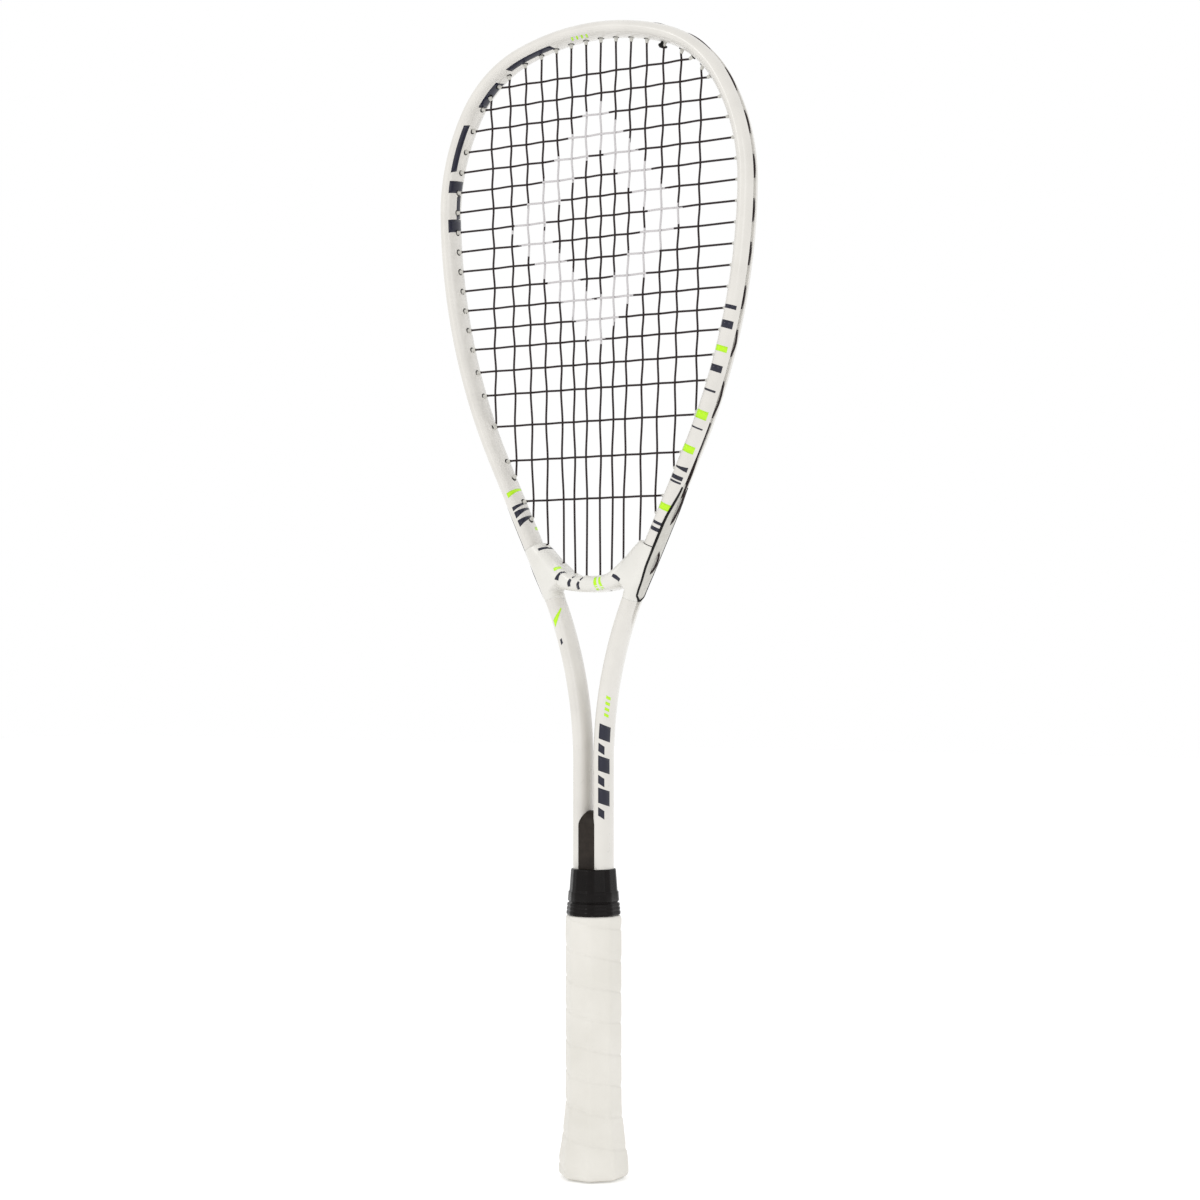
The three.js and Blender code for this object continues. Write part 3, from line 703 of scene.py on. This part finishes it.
def strip_section():
    """The band's outline in the groove, a little hollow under the strings."""
    floor = TUBE_A * math.cos(LIP_T) - GROOVE_DEPTH + 0.05
    half, top = STRIP_HALF, STRIP_TOP
    return [
        (floor, -half), (top - 0.35, -half), (top, -half + 0.35), (top - 0.2, 0),
        (top, half - 0.35), (top - 0.35, half), (floor, half), (floor, 0),
    ]


def between(levels, value):
    """A smooth curve through (value, result) levels."""
    if value <= levels[0][0]:
        return levels[0][1]
    for (v0, r0), (v1, r1) in zip(levels, levels[1:]):
        if value <= v1:
            return r0 + (r1 - r0) * ease((value - v0) / (v1 - v0))
    return levels[-1][1]


def pad_edge(s):
    return math.radians(between(PAD_EDGE, abs(s)))


def pad_lift(s):
    """How far the pad stands proud of the tube."""
    d = abs(s)
    return 0.1 + 0.25 * ease((d - PAD_FROM) / 14) * ease((PAD_TO + 2 - d) / 4)


def pad_section(st):
    """The wide pad of the strip over the tube's outer side, with a shallow track for the strings."""
    edge, lift = pad_edge(st.s), pad_lift(st.s)
    outer, inner = [], []
    for i in range(25):
        t = edge * (i / 12 - 1)
        rounding = 0.45 * max(0.0, abs(i / 12 - 1) - 0.85) / 0.15
        track = 0.25 * ease(1 - abs(t) / 0.16)
        out = lift - rounding - track
        outer.append(((TUBE_A + out) * math.cos(t), (TUBE_B + out) * math.sin(t)))
        inner.append(((TUBE_A - 0.3) * math.cos(t), (TUBE_B - 0.3) * math.sin(t)))
    return outer + inner[::-1]


def make_pad_shade_cords(side):
    """A dark cord along the pad's edge, round its lower end and up the other edge: painted shadow in the
    gap between the pad and the tube.
    """
    front = []
    d = PAD_FROM + 2.0
    while d < PAD_TO:
        front.append((d, -pad_edge(d)))
        d += 2.5 if d < PAD_TO - 8 else 0.8
    round_end = [(PAD_TO + 0.3, math.radians(a)) for a in (-8, 0, 8)]
    track = front + round_end + [(d, -a) for d, a in reversed(front)]
    points = []
    for d, a in track:
        lift = pad_lift(d) - PAD_CORD_SINK
        if side < 0:   # the left cord starts deeper, out of sight
            lift -= 0.5 * (1 - ease((d - 385) / 12))
        st = station(side * d)
        points.append(Vector(st.at((TUBE_A + lift) * math.cos(a), (TUBE_B + lift) * math.sin(a))))
    return laid_rings(points, PAD_CORD_R, 10, outwards)


def barrel_rings(end, side):
    """A funnel through the tube's inner wall, narrowing from a flange to its mouth round the string."""
    wall = -TUBE_A
    funnel = [(wall + 1.2, 1.4), (wall + 0.1, 1.4), (wall - 0.4, 1.3), (wall - 1.1, 1.1)]
    mouth = [(TIP + 0.3, 0.98), (TIP, 0.92), (TIP, 0.72), (TIP + 0.8, 0.7)]
    return end_rings(end, side, funnel + mouth)


def hole_shade_rings(end, side):
    """A dark ring round a barrel at the tube's wall: painted shade in the gap of its hole."""
    wall = -TUBE_A
    return end_rings(end, side, [(wall + 1.0, 1.95), (wall - 0.1, 1.95), (wall - 0.1, 1.4)])


def end_rings(end, side, shape):
    """Rings round a string end at (offset from the centreline, radius) levels."""
    rings = []
    across = Vector((0, 1, 0))
    up = end.dir.cross(across)
    for offset, radius in shape:
        middle = end.at(offset)
        ring = [
            middle + across * (radius * math.cos(t)) + up * (radius * math.sin(t))
            for t in turns(RIM_SIDES)
        ]
        rings.append([tuple(turned(side, p)) for p in ring])
    return rings


def make_strips():
    spans = {
        "head_guard_strip": (-HEAD_STRIP_END + 0.3, HEAD_STRIP_END - 0.3),
        "left_grommet_strip": (-STRIP_END, -HEAD_STRIP_END),
        "right_grommet_strip": (HEAD_STRIP_END, STRIP_END),
    }
    groups = {name: Builder() for name in spans}
    for name, (s0, s1) in spans.items():
        groups[name].skin([[st.at(n, y) for n, y in strip_section()] for st in path(s0, s1)])
    hole_shades, edge_shades = Builder(), Builder()
    for side, name in [(-1, "left_grommet_strip"), (1, "right_grommet_strip")]:
        pad = path(side * PAD_FROM, side * PAD_TO, 2.5)
        groups[name].skin([[st.at(n, y) for n, y in pad_section(st)] for st in pad])
        edge_shades.skin(make_pad_shade_cords(side))
    tube_mains = [THROAT_ENDS[i] for i in range(YOKE_MAINS, 7)]
    for end in HEAD_ENDS + tube_mains + CROSS_ENDS:
        for side in (-1, 1):
            s = nearest(end.tip.x, end.tip.z).s
            name = "head_guard_strip"
            if s > HEAD_STRIP_END:
                name = "right_grommet_strip" if side > 0 else "left_grommet_strip"
            groups[name].skin(barrel_rings(end, side))
            hole_shades.skin(hole_shade_rings(end, side))
    for name, build in groups.items():
        add_mesh(name + "_fine", build, STRIP, name)
    # The dark rings round the barrels are painted shade in the holes.
    add_mesh("hole_shade_rims", hole_shades, DARK_AND_SHADE)
    # The dark cords along the pads' edges are painted shadow in the gaps between pad and tube.
    add_mesh("pad_edge_shade", edge_shades, DARK_AND_SHADE)


# ---------------------------------------------------------------- throat yoke

def web_reach(st):
    """How far inwards from the centreline the yoke fills the corner between the tube and the bridge."""
    reach = SADDLE_OUT_A
    while reach < 24:
        x, _, z = st.at(-reach, 0)
        if z > bridge_top(x):
            break
        reach += 0.1
    return SADDLE_OUT_A + (reach - SADDLE_OUT_A) * ease((st.z - YOKE_LOW + 0.9) / 6)


def saddle_section(grow, tuck, reach):
    """A C round the tube, open on its outer side, as (out, y); grow 0 lies flush on the tube.

    Its inner side reaches in under the bridge's upper surface with squarer shoulders.
    """
    outer_a = TUBE_A + (SADDLE_OUT_A - TUBE_A) * grow
    outer_b = TUBE_B + (SADDLE_OUT_B - TUBE_B) * grow
    edge = tuck + math.radians(5.5)
    square = 2 / (2 + 0.9 * ease((reach - SADDLE_OUT_A) / 4))
    outer, inner = [], []
    for i in range(61):
        t = edge + (2 * math.pi - 2 * edge) * i / 60
        c, s = math.cos(t), math.sin(t)
        if c < 0:
            inwards = (reach - SADDLE_OUT_A + outer_a) * abs(c) ** square
            outer.append((-inwards, math.copysign(outer_b, s) * abs(s) ** square))
        else:
            outer.append((outer_a * c, outer_b * s))
        inner.append(((TUBE_A - 0.25) * math.cos(t), (TUBE_B - 0.25) * math.sin(t)))
    return outer + inner[::-1]


def bridge_top(x):
    """The bridge's upper surface: level in the middle, then climbing into the frame's sides."""
    return BOWL_Z + BOWL_SOFTNESS * math.log(1 + math.exp((abs(x) - BOWL_FROM) / BOWL_SOFTNESS))


def bridge_underside(x):
    """The bridge's lower surface, slightly arched."""
    return YOKE_LOW - 0.3 + 0.006 * x * x


def bridge_section(x):
    """A rounded slab in the YZ plane at x."""
    low = bridge_underside(x)
    high = bridge_top(x)
    half = BRIDGE_HALF_DEPTH - 2.4 * ease((abs(x) - 14) / 14)
    r = min(4.5, (high - low) / 2 - 0.2)
    y, top, under = half - r, high - r, low + r
    ring = []
    for cy, cz, start in [(y, top, 0), (-y, top, 90), (-y, under, 180), (y, under, 270)]:
        for k in range(7):
            t = math.radians(start + 15 * k)
            ring.append((x, cy + r * math.cos(t), cz + r * math.sin(t)))
    return ring


def make_yoke_strip():
    """The thin band let into the bridge's underside, where the two short string runs lie on it."""
    build = Builder()
    rings = []
    for i in range(9):
        x = YOKE_STRIP_HALF * (i / 4 - 1)
        low = bridge_section(x)[-1][2] + 0.25
        rings.append([(x, -2.2, low), (x, 2.2, low), (x, 2.2, low + 0.9), (x, -2.2, low + 0.9)])
    build.skin(rings)
    add_mesh("yoke_grommet_strip_fine", build, STRIP, "yoke_grommet_strip")


def make_yoke():
    """The bridge, a sleeve round each leg and a rim round each main; returns the surface."""
    build = Builder()
    count = 40
    build.skin([bridge_section(BRIDGE_REACH * (2 * i / count - 1)) for i in range(count + 1)])
    top, low = s_at_height(SADDLE_TOP_Z), s_at_height(SADDLE_LOW_Z)
    for side in (-1, 1):
        rings = []
        for st in path(side * top, side * low, 1.2):
            along = (abs(st.s) - top) / (low - top)
            grow = min(0.35 + 0.65 * ease(along / 0.2), ease((1 - along) / 0.08))
            section = saddle_section(grow, pad_edge(st.s), web_reach(st))
            rings.append([st.at(n, y) for n, y in section])
        build.skin(rings)
    for i, z in enumerate(YOKE_TOP_Z):
        for side in (-1, 1):
            x = side * main_x(i, z)
            rings = []
            for dz, r in [(-1.5, 1.45), (0.1, 1.45), (0.4, 1.15), (0.4, 0.8), (-0.2, 0.7)]:
                level = bridge_top(x) + dz
                rings.append([
                    (x + r * math.cos(t), r * math.sin(t), level) for t in turns(RIM_SIDES)
                ])
            build.skin(rings)
    add_mesh("throat_yoke_fine", build, YOKE_WHITE, "throat_yoke")
    return BVHTree.FromPolygons(build.verts, build.faces)


# ---------------------------------------------------------------- painted marks


def seen(side, u):
    """The section angle at a share u of the way from the middle to the right edge in a front view."""
    return math.radians(EDGE_ANGLES[side]) - side * math.acos(max(-1, min(1, u)))


def patch(build, levels, rows, cols, place):
    """A thin closed patch between two levels, its points placed by (level, row, column)."""
    build.grid(*[[[place(lift, i, j) for j in range(cols)] for i in range(rows)] for lift in levels])


def decal(build, side, s, shares, wide, slant=0.0):
    """A painted patch on the tube.

    It lies at a distance s from the head's top and spans two section shares. Its length along the
    tube is given at both of its ends, and slant moves its second end further down the tube.
    """
    steps = 24
    rows = max(2, math.ceil(max(wide) / 2.5))

    def place(lift, i, j):
        v = j / steps
        t = seen(side, shares[0] + (shares[1] - shares[0]) * v)
        half = (wide[0] + (wide[1] - wide[0]) * v) / 2
        st = station(side * (s + half * (2 * i / rows - 1) + slant * v))
        return st.at((TUBE_A + lift) * math.cos(t), (TUBE_B + lift) * math.sin(t))

    patch(build, PAINT_LEVELS, rows + 1, steps + 1, place)


def make_decals(yoke):
    navy, lime = Builder(), Builder()
    # Right side of the head: a ladder of bars across the front face.
    ladder = [
        (235.5, 2.3, navy), (245.5, 4.4, navy), (259.5, 3.4, lime), (271, 4, navy), (284, 1.2, navy),
        (298.6, 5, lime), (306.6, 0.9, navy), (319.6, 4.3, lime), (337.3, 2.4, navy), (340, 1.2, navy),
        (355.9, 4, lime), (366.2, 1.7, navy), (370, 2.2, navy),
    ]
    for s, length, build in ladder:
        decal(build, 1, s, (-0.998, 0.1), (length, length), 0.3)
    decal(navy, 1, 331.4, (-0.96, 0.2), (0.9, 3), 0.3)
    # Left side above the throat: tapered marks that rise towards the inside.
    decal(lime, -1, 345.6, (-0.6, 0.94), (3.2, 1.4), -3.2)
    decal(navy, -1, 354.8, (-0.62, 0.94), (2.6, 0.7), -3)
    decal(navy, -1, 359.0, (-0.62, 0.96), (4, 1.2), -3.7)
    decal(navy, -1, 364.6, (-0.6, 0.97), (4.2, 1.3), -3.9)
    decal(lime, -1, 369.5, (0.75, 0.99), (1.8, 2.4), -1)
    wrap_mark(navy, yoke, -1, s_at_height(370.5), (0.12, 0.95), 1.7)
    # Left side of the head: plain stripes running along the tube.
    stripes = [
        (45, 34, (0.0, 0.5)), (83, 20, (0.25, 0.9)), (122, 30, (-0.28, 0.25)),
        (146, 7.6, (-0.25, 0.97)), (158.5, 15, (0.6, 0.9)), (170.5, 8, (-0.2, 0.97)),
    ]
    for s, length, shares in stripes:
        decal(navy, -1, s, shares, (length, length), -1.5)
    # Short ticks at the top of the head and down the shafts.
    for k in range(4):
        decal(lime, -1, 1 + 3.4 * k, (-0.15, 0.25), (1.3, 1.3), 0.8)
        decal(lime, 1, s_at_height(286 - 3.6 * k), (-0.2, 0.25), (1.8, 1.8), 1.2)
    for k, (drop, length) in enumerate([(0, 9), (11.5, 5), (19, 9), (30.5, 5), (38, 9), (49.5, 5)]):
        shares = (-0.55, 0.55 if k % 2 == 0 else 0.05)
        decal(navy, 1, s_at_height(270) + drop + length / 2, shares, (length, length), 2.5)
    decal(lime, -1, 430, (-0.85, 0.25), (4.5, 1), -8)
    decal(navy, -1, 442, (-0.75, -0.55), (3.4, 3), -0.8)
    make_yoke_decals(yoke, navy, lime)
    # A thin dark band at the top of the right sleeve: painted shade under the sleeve's step.
    step_shade = Builder()
    decal(step_shade, 1, s_at_height(SADDLE_TOP_Z) - 0.2, (-0.99, 0.3), (0.5, 0.5))
    add_mesh("yoke_step_shade", step_shade, DARK_AND_SHADE)
    add_mesh("painted_navy", navy, NAVY)
    add_mesh("painted_lime", lime, LIME)


def yoke_face(yoke, x, z, lift):
    """The point of the yoke's front face at (x, z), kept on the face and raised off it by "lift"."""
    z = min(max(z, bridge_underside(x) + 0.7), bridge_top(x) - 0.7)
    place, normal, _, _ = yoke.ray_cast((x, -30, z), (0, 1, 0))
    if normal.y > 0:
        normal.negate()
    return tuple(place + normal * lift)


def stroke(build, yoke, spine):
    """A painted band on the yoke's front along (x, z, width) points."""
    def place(lift, k, i):
        x, z, wide = spine[i]
        x0, z0, _ = spine[max(i - 1, 0)]
        x1, z1, _ = spine[min(i + 1, len(spine) - 1)]
        aside = wide * (k / 4 - 0.5) / math.hypot(x1 - x0, z1 - z0)
        return yoke_face(yoke, x + (z1 - z0) * aside, z - (x1 - x0) * aside, lift)

    patch(build, YOKE_PAINT_LEVELS, 5, len(spine), place)


def wrap_mark(build, yoke, side, s, shares, wide):
    """A dash round the yoke's sleeve at a distance s from the head's top."""
    def place(lift, i, j):
        st = station(side * (s + wide * (i / 2 - 0.5)))
        middle = Vector(st.at(0, 0))
        t = seen(side, shares[0] + (shares[1] - shares[0]) * j / 12)
        far = Vector(st.at(4 * TUBE_A * math.cos(t), 4 * TUBE_B * math.sin(t)))
        hit = yoke.ray_cast(far, middle - far)[0]
        return tuple(hit + (far - middle).normalized() * lift)

    patch(build, YOKE_PAINT_LEVELS, 3, 13, place)


def smoothed(points, steps=3):
    """Extra points between given ones, on a curve through them."""
    out = []
    for i in range(len(points) - 1):
        before, a = points[max(i - 1, 0)], points[i]
        b, after = points[i + 1], points[min(i + 2, len(points) - 1)]
        for k in range(steps):
            out.append(tuple(curve(*four, k / steps) for four in zip(before, a, b, after)))
    out.append(points[-1])
    return out


def curve(p, q, r, w, u):
    """A share u of the way from q to r on a smooth curve (Catmull-Rom) through four values."""
    square, cube = 2 * p - 5 * q + 4 * r - w, 3 * q - p - 3 * r + w
    return 0.5 * (2 * q + (r - p) * u + square * u * u + cube * u ** 3)


def make_yoke_decals(yoke, navy, lime):
    """Rings and dashes round the bridge's front, each a run of (x, z, width)."""
    marks = [
        (lime, [(6.0, 355.9, 1.7), (6.1, 353.6, 2), (6.5, 351.2, 2.1), (7.6, 348, 2.1)]),
        (lime, [(8.8, 356, 1.2), (9.1, 354.2, 1.5), (9.7, 352, 1.8), (10.9, 348.7, 2.3)]),
        (navy, [(-14.2, 359.4, 1), (-17.4, 359, 1.4), (-19.7, 357.3, 1.9), (-20.8, 354.6, 2.7)]),
        (navy, [(-8.6, 357.2, 0.9), (-10.1, 355.7, 1.1)]),
        (navy, [(-10.7, 354.9, 1.6), (-11.8, 352.8, 2.2), (-11.7, 350.6, 2)]),
        (navy, [(-2.9, 355.9, 0.9), (-4.3, 354.2, 1.1)]),
        (navy, [(-4.9, 353.4, 1.3), (-5.7, 351.3, 2), (-5.4, 348.8, 2)]),
        (navy, [(17.9, 356.9, 1.8), (20.3, 355.5, 2.4), (23, 353.7, 2)]),
        (lime, [(-17.9, 362.3, 1.2), (-20.4, 361.9, 1.9), (-23, 360.9, 1.9)]),
    ]
    for build, spine in marks:
        stroke(build, yoke, smoothed(spine))


# ---------------------------------------------------------------- filler, handle and butt


def make_filler():
    """The black filler: hollow-sided between the round shafts, its nose a half round."""
    build, rings = Builder(), []
    half, low, top = FILLER_HALF_DEPTH, FILLER_LOW_Z, FILLER_TOP_Z
    ys = [-half + 2 * half * i / 24 for i in range(25)]

    def side_x(y):
        return SHAFT_X - (TUBE_A + 0.02) * math.sqrt(max(0, 1 - (y / TUBE_B) ** 2))

    levels = [low + (top - half - low) * i / 8 for i in range(9)]
    levels += [top - half + half * math.sin(math.pi / 2 * i / 12) for i in range(1, 12)]
    for z in levels:
        rise = max(0.0, z - (top - half)) / half
        reach = math.sqrt(max(0.0, 1 - rise * rise))
        ring = [(min(side_x(y * reach) + 0.05, 6.1), y * reach, z) for y in ys]
        rings.append(ring + [(-x, y, zz) for x, y, zz in reversed(ring)])
    build.skin(rings)
    obj = add_mesh("shaft_filler_fine", build, FILLER, "shaft_filler")
    soften(obj, 0.5)


def soften(obj, width, segments=2):
    """Rounds a piece's sharp edges."""
    bevel = obj.modifiers.new("soft_edges", "BEVEL")
    bevel.width = width * MM
    bevel.segments = segments
    bevel.limit_method = "ANGLE"
    bevel.angle_limit = math.radians(40)


def octagon_lean(angle):
    """How far an angle lies from the middle of its octagon's flat."""
    return abs((angle + math.pi / 8) % (math.pi / 4) - math.pi / 8)


def octagon_reach(angle, half, corner):
    """How far a rounded octagon reaches at an angle: flats joined by arcs of radius corner."""
    lean = octagon_lean(angle)
    inner = half - corner
    flat_edge = inner * math.tan(math.pi / 8)
    if half * math.tan(lean) <= flat_edge:
        return half / math.cos(lean)
    cx, cy = inner, flat_edge
    along = cx * math.cos(lean) + cy * math.sin(lean)
    gap = cx * cx + cy * cy - corner * corner
    return along + math.sqrt(max(0.0, along * along - gap))


def profile_at(profile, z):
    """The half width at a height, on straight stretches between (z, half width) levels."""
    if z <= profile[0][0]:
        return profile[0][1]
    for (z0, h0), (z1, h1) in zip(profile, profile[1:]):
        if z <= z1:
            return h0 + (h1 - h0) * (z - z0) / (z1 - z0)
    return profile[-1][1]


def grip_half(z):
    """The grip's half width, its straight stretches eased into each other."""
    near = [profile_at(GRIP_PROFILE, z + d) for d in (-2.5, -1.2, 0, 1.2, 2.5)]
    return sum(near) / len(near) if z > 7 else profile_at(GRIP_PROFILE, z)


def lap_height(angle, z):
    """The wrap's relief: each turn of the strip rises to its free edge and drops onto the next."""
    phase = ((z + LAP_PITCH * angle / (2 * math.pi)) / LAP_PITCH) % 1.0
    phase = (phase + 0.02 * math.sin(3 * angle + z * 0.11)) % 1.0
    rise = LAP_RISE * ease(phase / 0.25) if phase < 0.25 else LAP_RISE - 0.1 * (phase - 0.25)
    edge = 0.62 * ease((1 - phase) / 0.045) if phase > 0.955 else rise
    swell = 0.1 * noise.noise(Vector((math.cos(angle) * 1.6, math.sin(angle) * 1.6, z * 0.05)))
    return min(edge, rise) + swell


def edge_rounding(distance, radius):
    """How far an edge is rounded in, from 1 at the edge to 0 at a radius away."""
    left = max(0.0, radius - distance) / radius
    return 1 - math.sqrt(max(0.0, 1 - left ** 2))


def make_grip():
    build, rings = Builder(), []
    sides = 192
    low, high, step = GRIP_LOW_Z, GRIP_TOP_Z - 0.2, 0.55
    count = int((high - low) / step)
    for i in range(count + 1):
        z = low + (high - low) * i / count
        rounding = 1.5 * edge_rounding(z - low, 1.6) + 0.5 * edge_rounding(high - z, 0.8)
        fade = ease((z - low) / 3) * ease((high - z) / 2)
        ring = []
        for angle in turns(sides):
            reach = octagon_reach(angle, grip_half(z), GRIP_CORNER) - GRIP_SEAT - rounding
            reach += lap_height(angle, z) * fade
            ring.append((reach * math.cos(angle), reach * math.sin(angle), z))
        rings.append(ring)
    build.skin(rings)
    add_mesh("grip_wrap_fine", build, GRIP, "grip_wrap")


def lathe_octagon(name, profile, corner, material, node, scoop=0.0, sides=128):
    """A closed body of octagon rings at (z, half width) levels; scoop hollows its corners."""
    build, rings = Builder(), []
    for z, half in profile:
        ring = []
        for angle in turns(sides):
            reach = octagon_reach(angle, half, corner)
            reach -= scoop * ease((octagon_lean(angle) - math.radians(13)) / math.radians(9.5))
            ring.append((reach * math.cos(angle), reach * math.sin(angle), z))
        rings.append(ring)
    build.skin(rings)
    add_mesh(name, build, material, node)


def make_cap():
    base = [(0, 11), (0.05, 12.5), (0.4, 15.4), (0.8, 16.9), (1.05, 17.3)]
    profile = base + [(1.2, 17.1), (1.25, 16.6), (2, 16.5)]
    lathe_octagon("butt_cap_fine", profile, 5, CAP, "butt_cap")


def make_collar():
    rings = [(156.2, 14.8), (156.4, 15.4), (156.9, 15.6), (158.2, 15.5), (158.6, 15.15), (158.9, 15.15)]
    rings += [(159.3, 15.4), (160.6, 15.3), (161.0, 14.95), (161.3, 14.95), (161.7, 15.2), (163.0, 15.05)]
    groove = [(163.4, 14.3), (163.8, 14.0), (164.2, 14.25)]
    ledge = [(164.6, 14.8), (169.4, 14.45), (169.9, 14.4), (170.2, 13.95)]
    cone = [(171, 13.8), (182.4, 13.0), (183.2, 12.8), (183.5, 12.3), (183.4, 11.6)]
    profile = rings + groove + ledge + cone
    lathe_octagon("grip_collar_fine", profile, 3.4, RUBBER, "grip_collar", scoop=0.5)


def dress_cad():
    """Finishes the CAD pieces that stay as they are."""
    looks = {
        "handle_shell_front": HANDLE, "handle_shell_rear": HANDLE,
        "cap_staple_front": STEEL, "cap_staple_rear": STEEL, "finishing_tape": DARK_AND_SHADE,
    }
    for node, material in looks.items():
        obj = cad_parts[node]
        for slot in obj.material_slots:
            slot.material = material


# ---------------------------------------------------------------- stage, lights and camera


def make_stage():
    mesh = bpy.data.meshes.new("floor")
    size = 6.0
    corners = [(-size, -size, 0), (size, -size, 0), (size, size, 0), (-size, size, 0)]
    mesh.from_pydata(corners, [], [(0, 1, 2, 3)])
    floor = bpy.data.objects.new("floor", mesh)
    bpy.context.scene.collection.objects.link(floor)
    look = Look("floor_white", Roughness=0.9, Specular_IOR_Level=0.1, Emission_Strength=FLOOR_GLOW)
    look.shader.inputs["Emission Color"].default_value = (1, 1, 1, 1)
    look.colour(look.noise(3, 2), (0.86, 0.86, 0.86, 1), (0.88, 0.88, 0.88, 1))
    mesh.materials.append(look.material)
    world = bpy.data.worlds.new("studio")
    world.use_nodes = True
    world.node_tree.nodes["Background"].inputs["Color"].default_value = (1, 1, 1, 1)
    world.node_tree.nodes["Background"].inputs["Strength"].default_value = WORLD_STRENGTH
    bpy.context.scene.world = world
    bpy.context.scene.view_settings.view_transform = "Standard"


def add_light(name, place, target, size, power):
    light = bpy.data.lights.new(name, "AREA")
    light.shape = "RECTANGLE"
    light.size, light.size_y = size
    light.energy = power
    obj = bpy.data.objects.new(name, light)
    obj.location = place
    obj.rotation_euler = (Vector(target) - Vector(place)).to_track_quat("-Z", "Y").to_euler()
    bpy.context.scene.collection.objects.link(obj)


def make_camera():
    camera = bpy.data.cameras.new("camera")
    camera.lens = LENS
    camera.sensor_width = 36
    camera.shift_x, camera.shift_y = CAMERA_SHIFT
    obj = bpy.data.objects.new("camera", camera)
    reach = CAMERA_DISTANCE * MM
    obj.location = (reach * math.sin(CAMERA_TURN), -reach * math.cos(CAMERA_TURN), CAMERA_Z * MM)
    obj.rotation_euler = (math.pi / 2, 0, CAMERA_TURN)
    bpy.context.scene.collection.objects.link(obj)
    bpy.context.scene.camera = obj


# ---------------------------------------------------------------- everything in order

make_camera()
make_stage()
add_light("key", (-0.7, -2.0, 1.5), (0, 0, 0.4), (0.6, 0.9), 8)
add_light("fill", (2.2, -0.9, 1.0), (0, 0, 0.4), (0.8, 1.4), 5)
make_tube()
make_mains()
make_crosses()
make_knot()
make_strips()
yoke_surface = make_yoke()
make_yoke_strip()
make_decals(yoke_surface)
make_filler()
make_grip()
make_cap()
make_collar()
dress_cad()
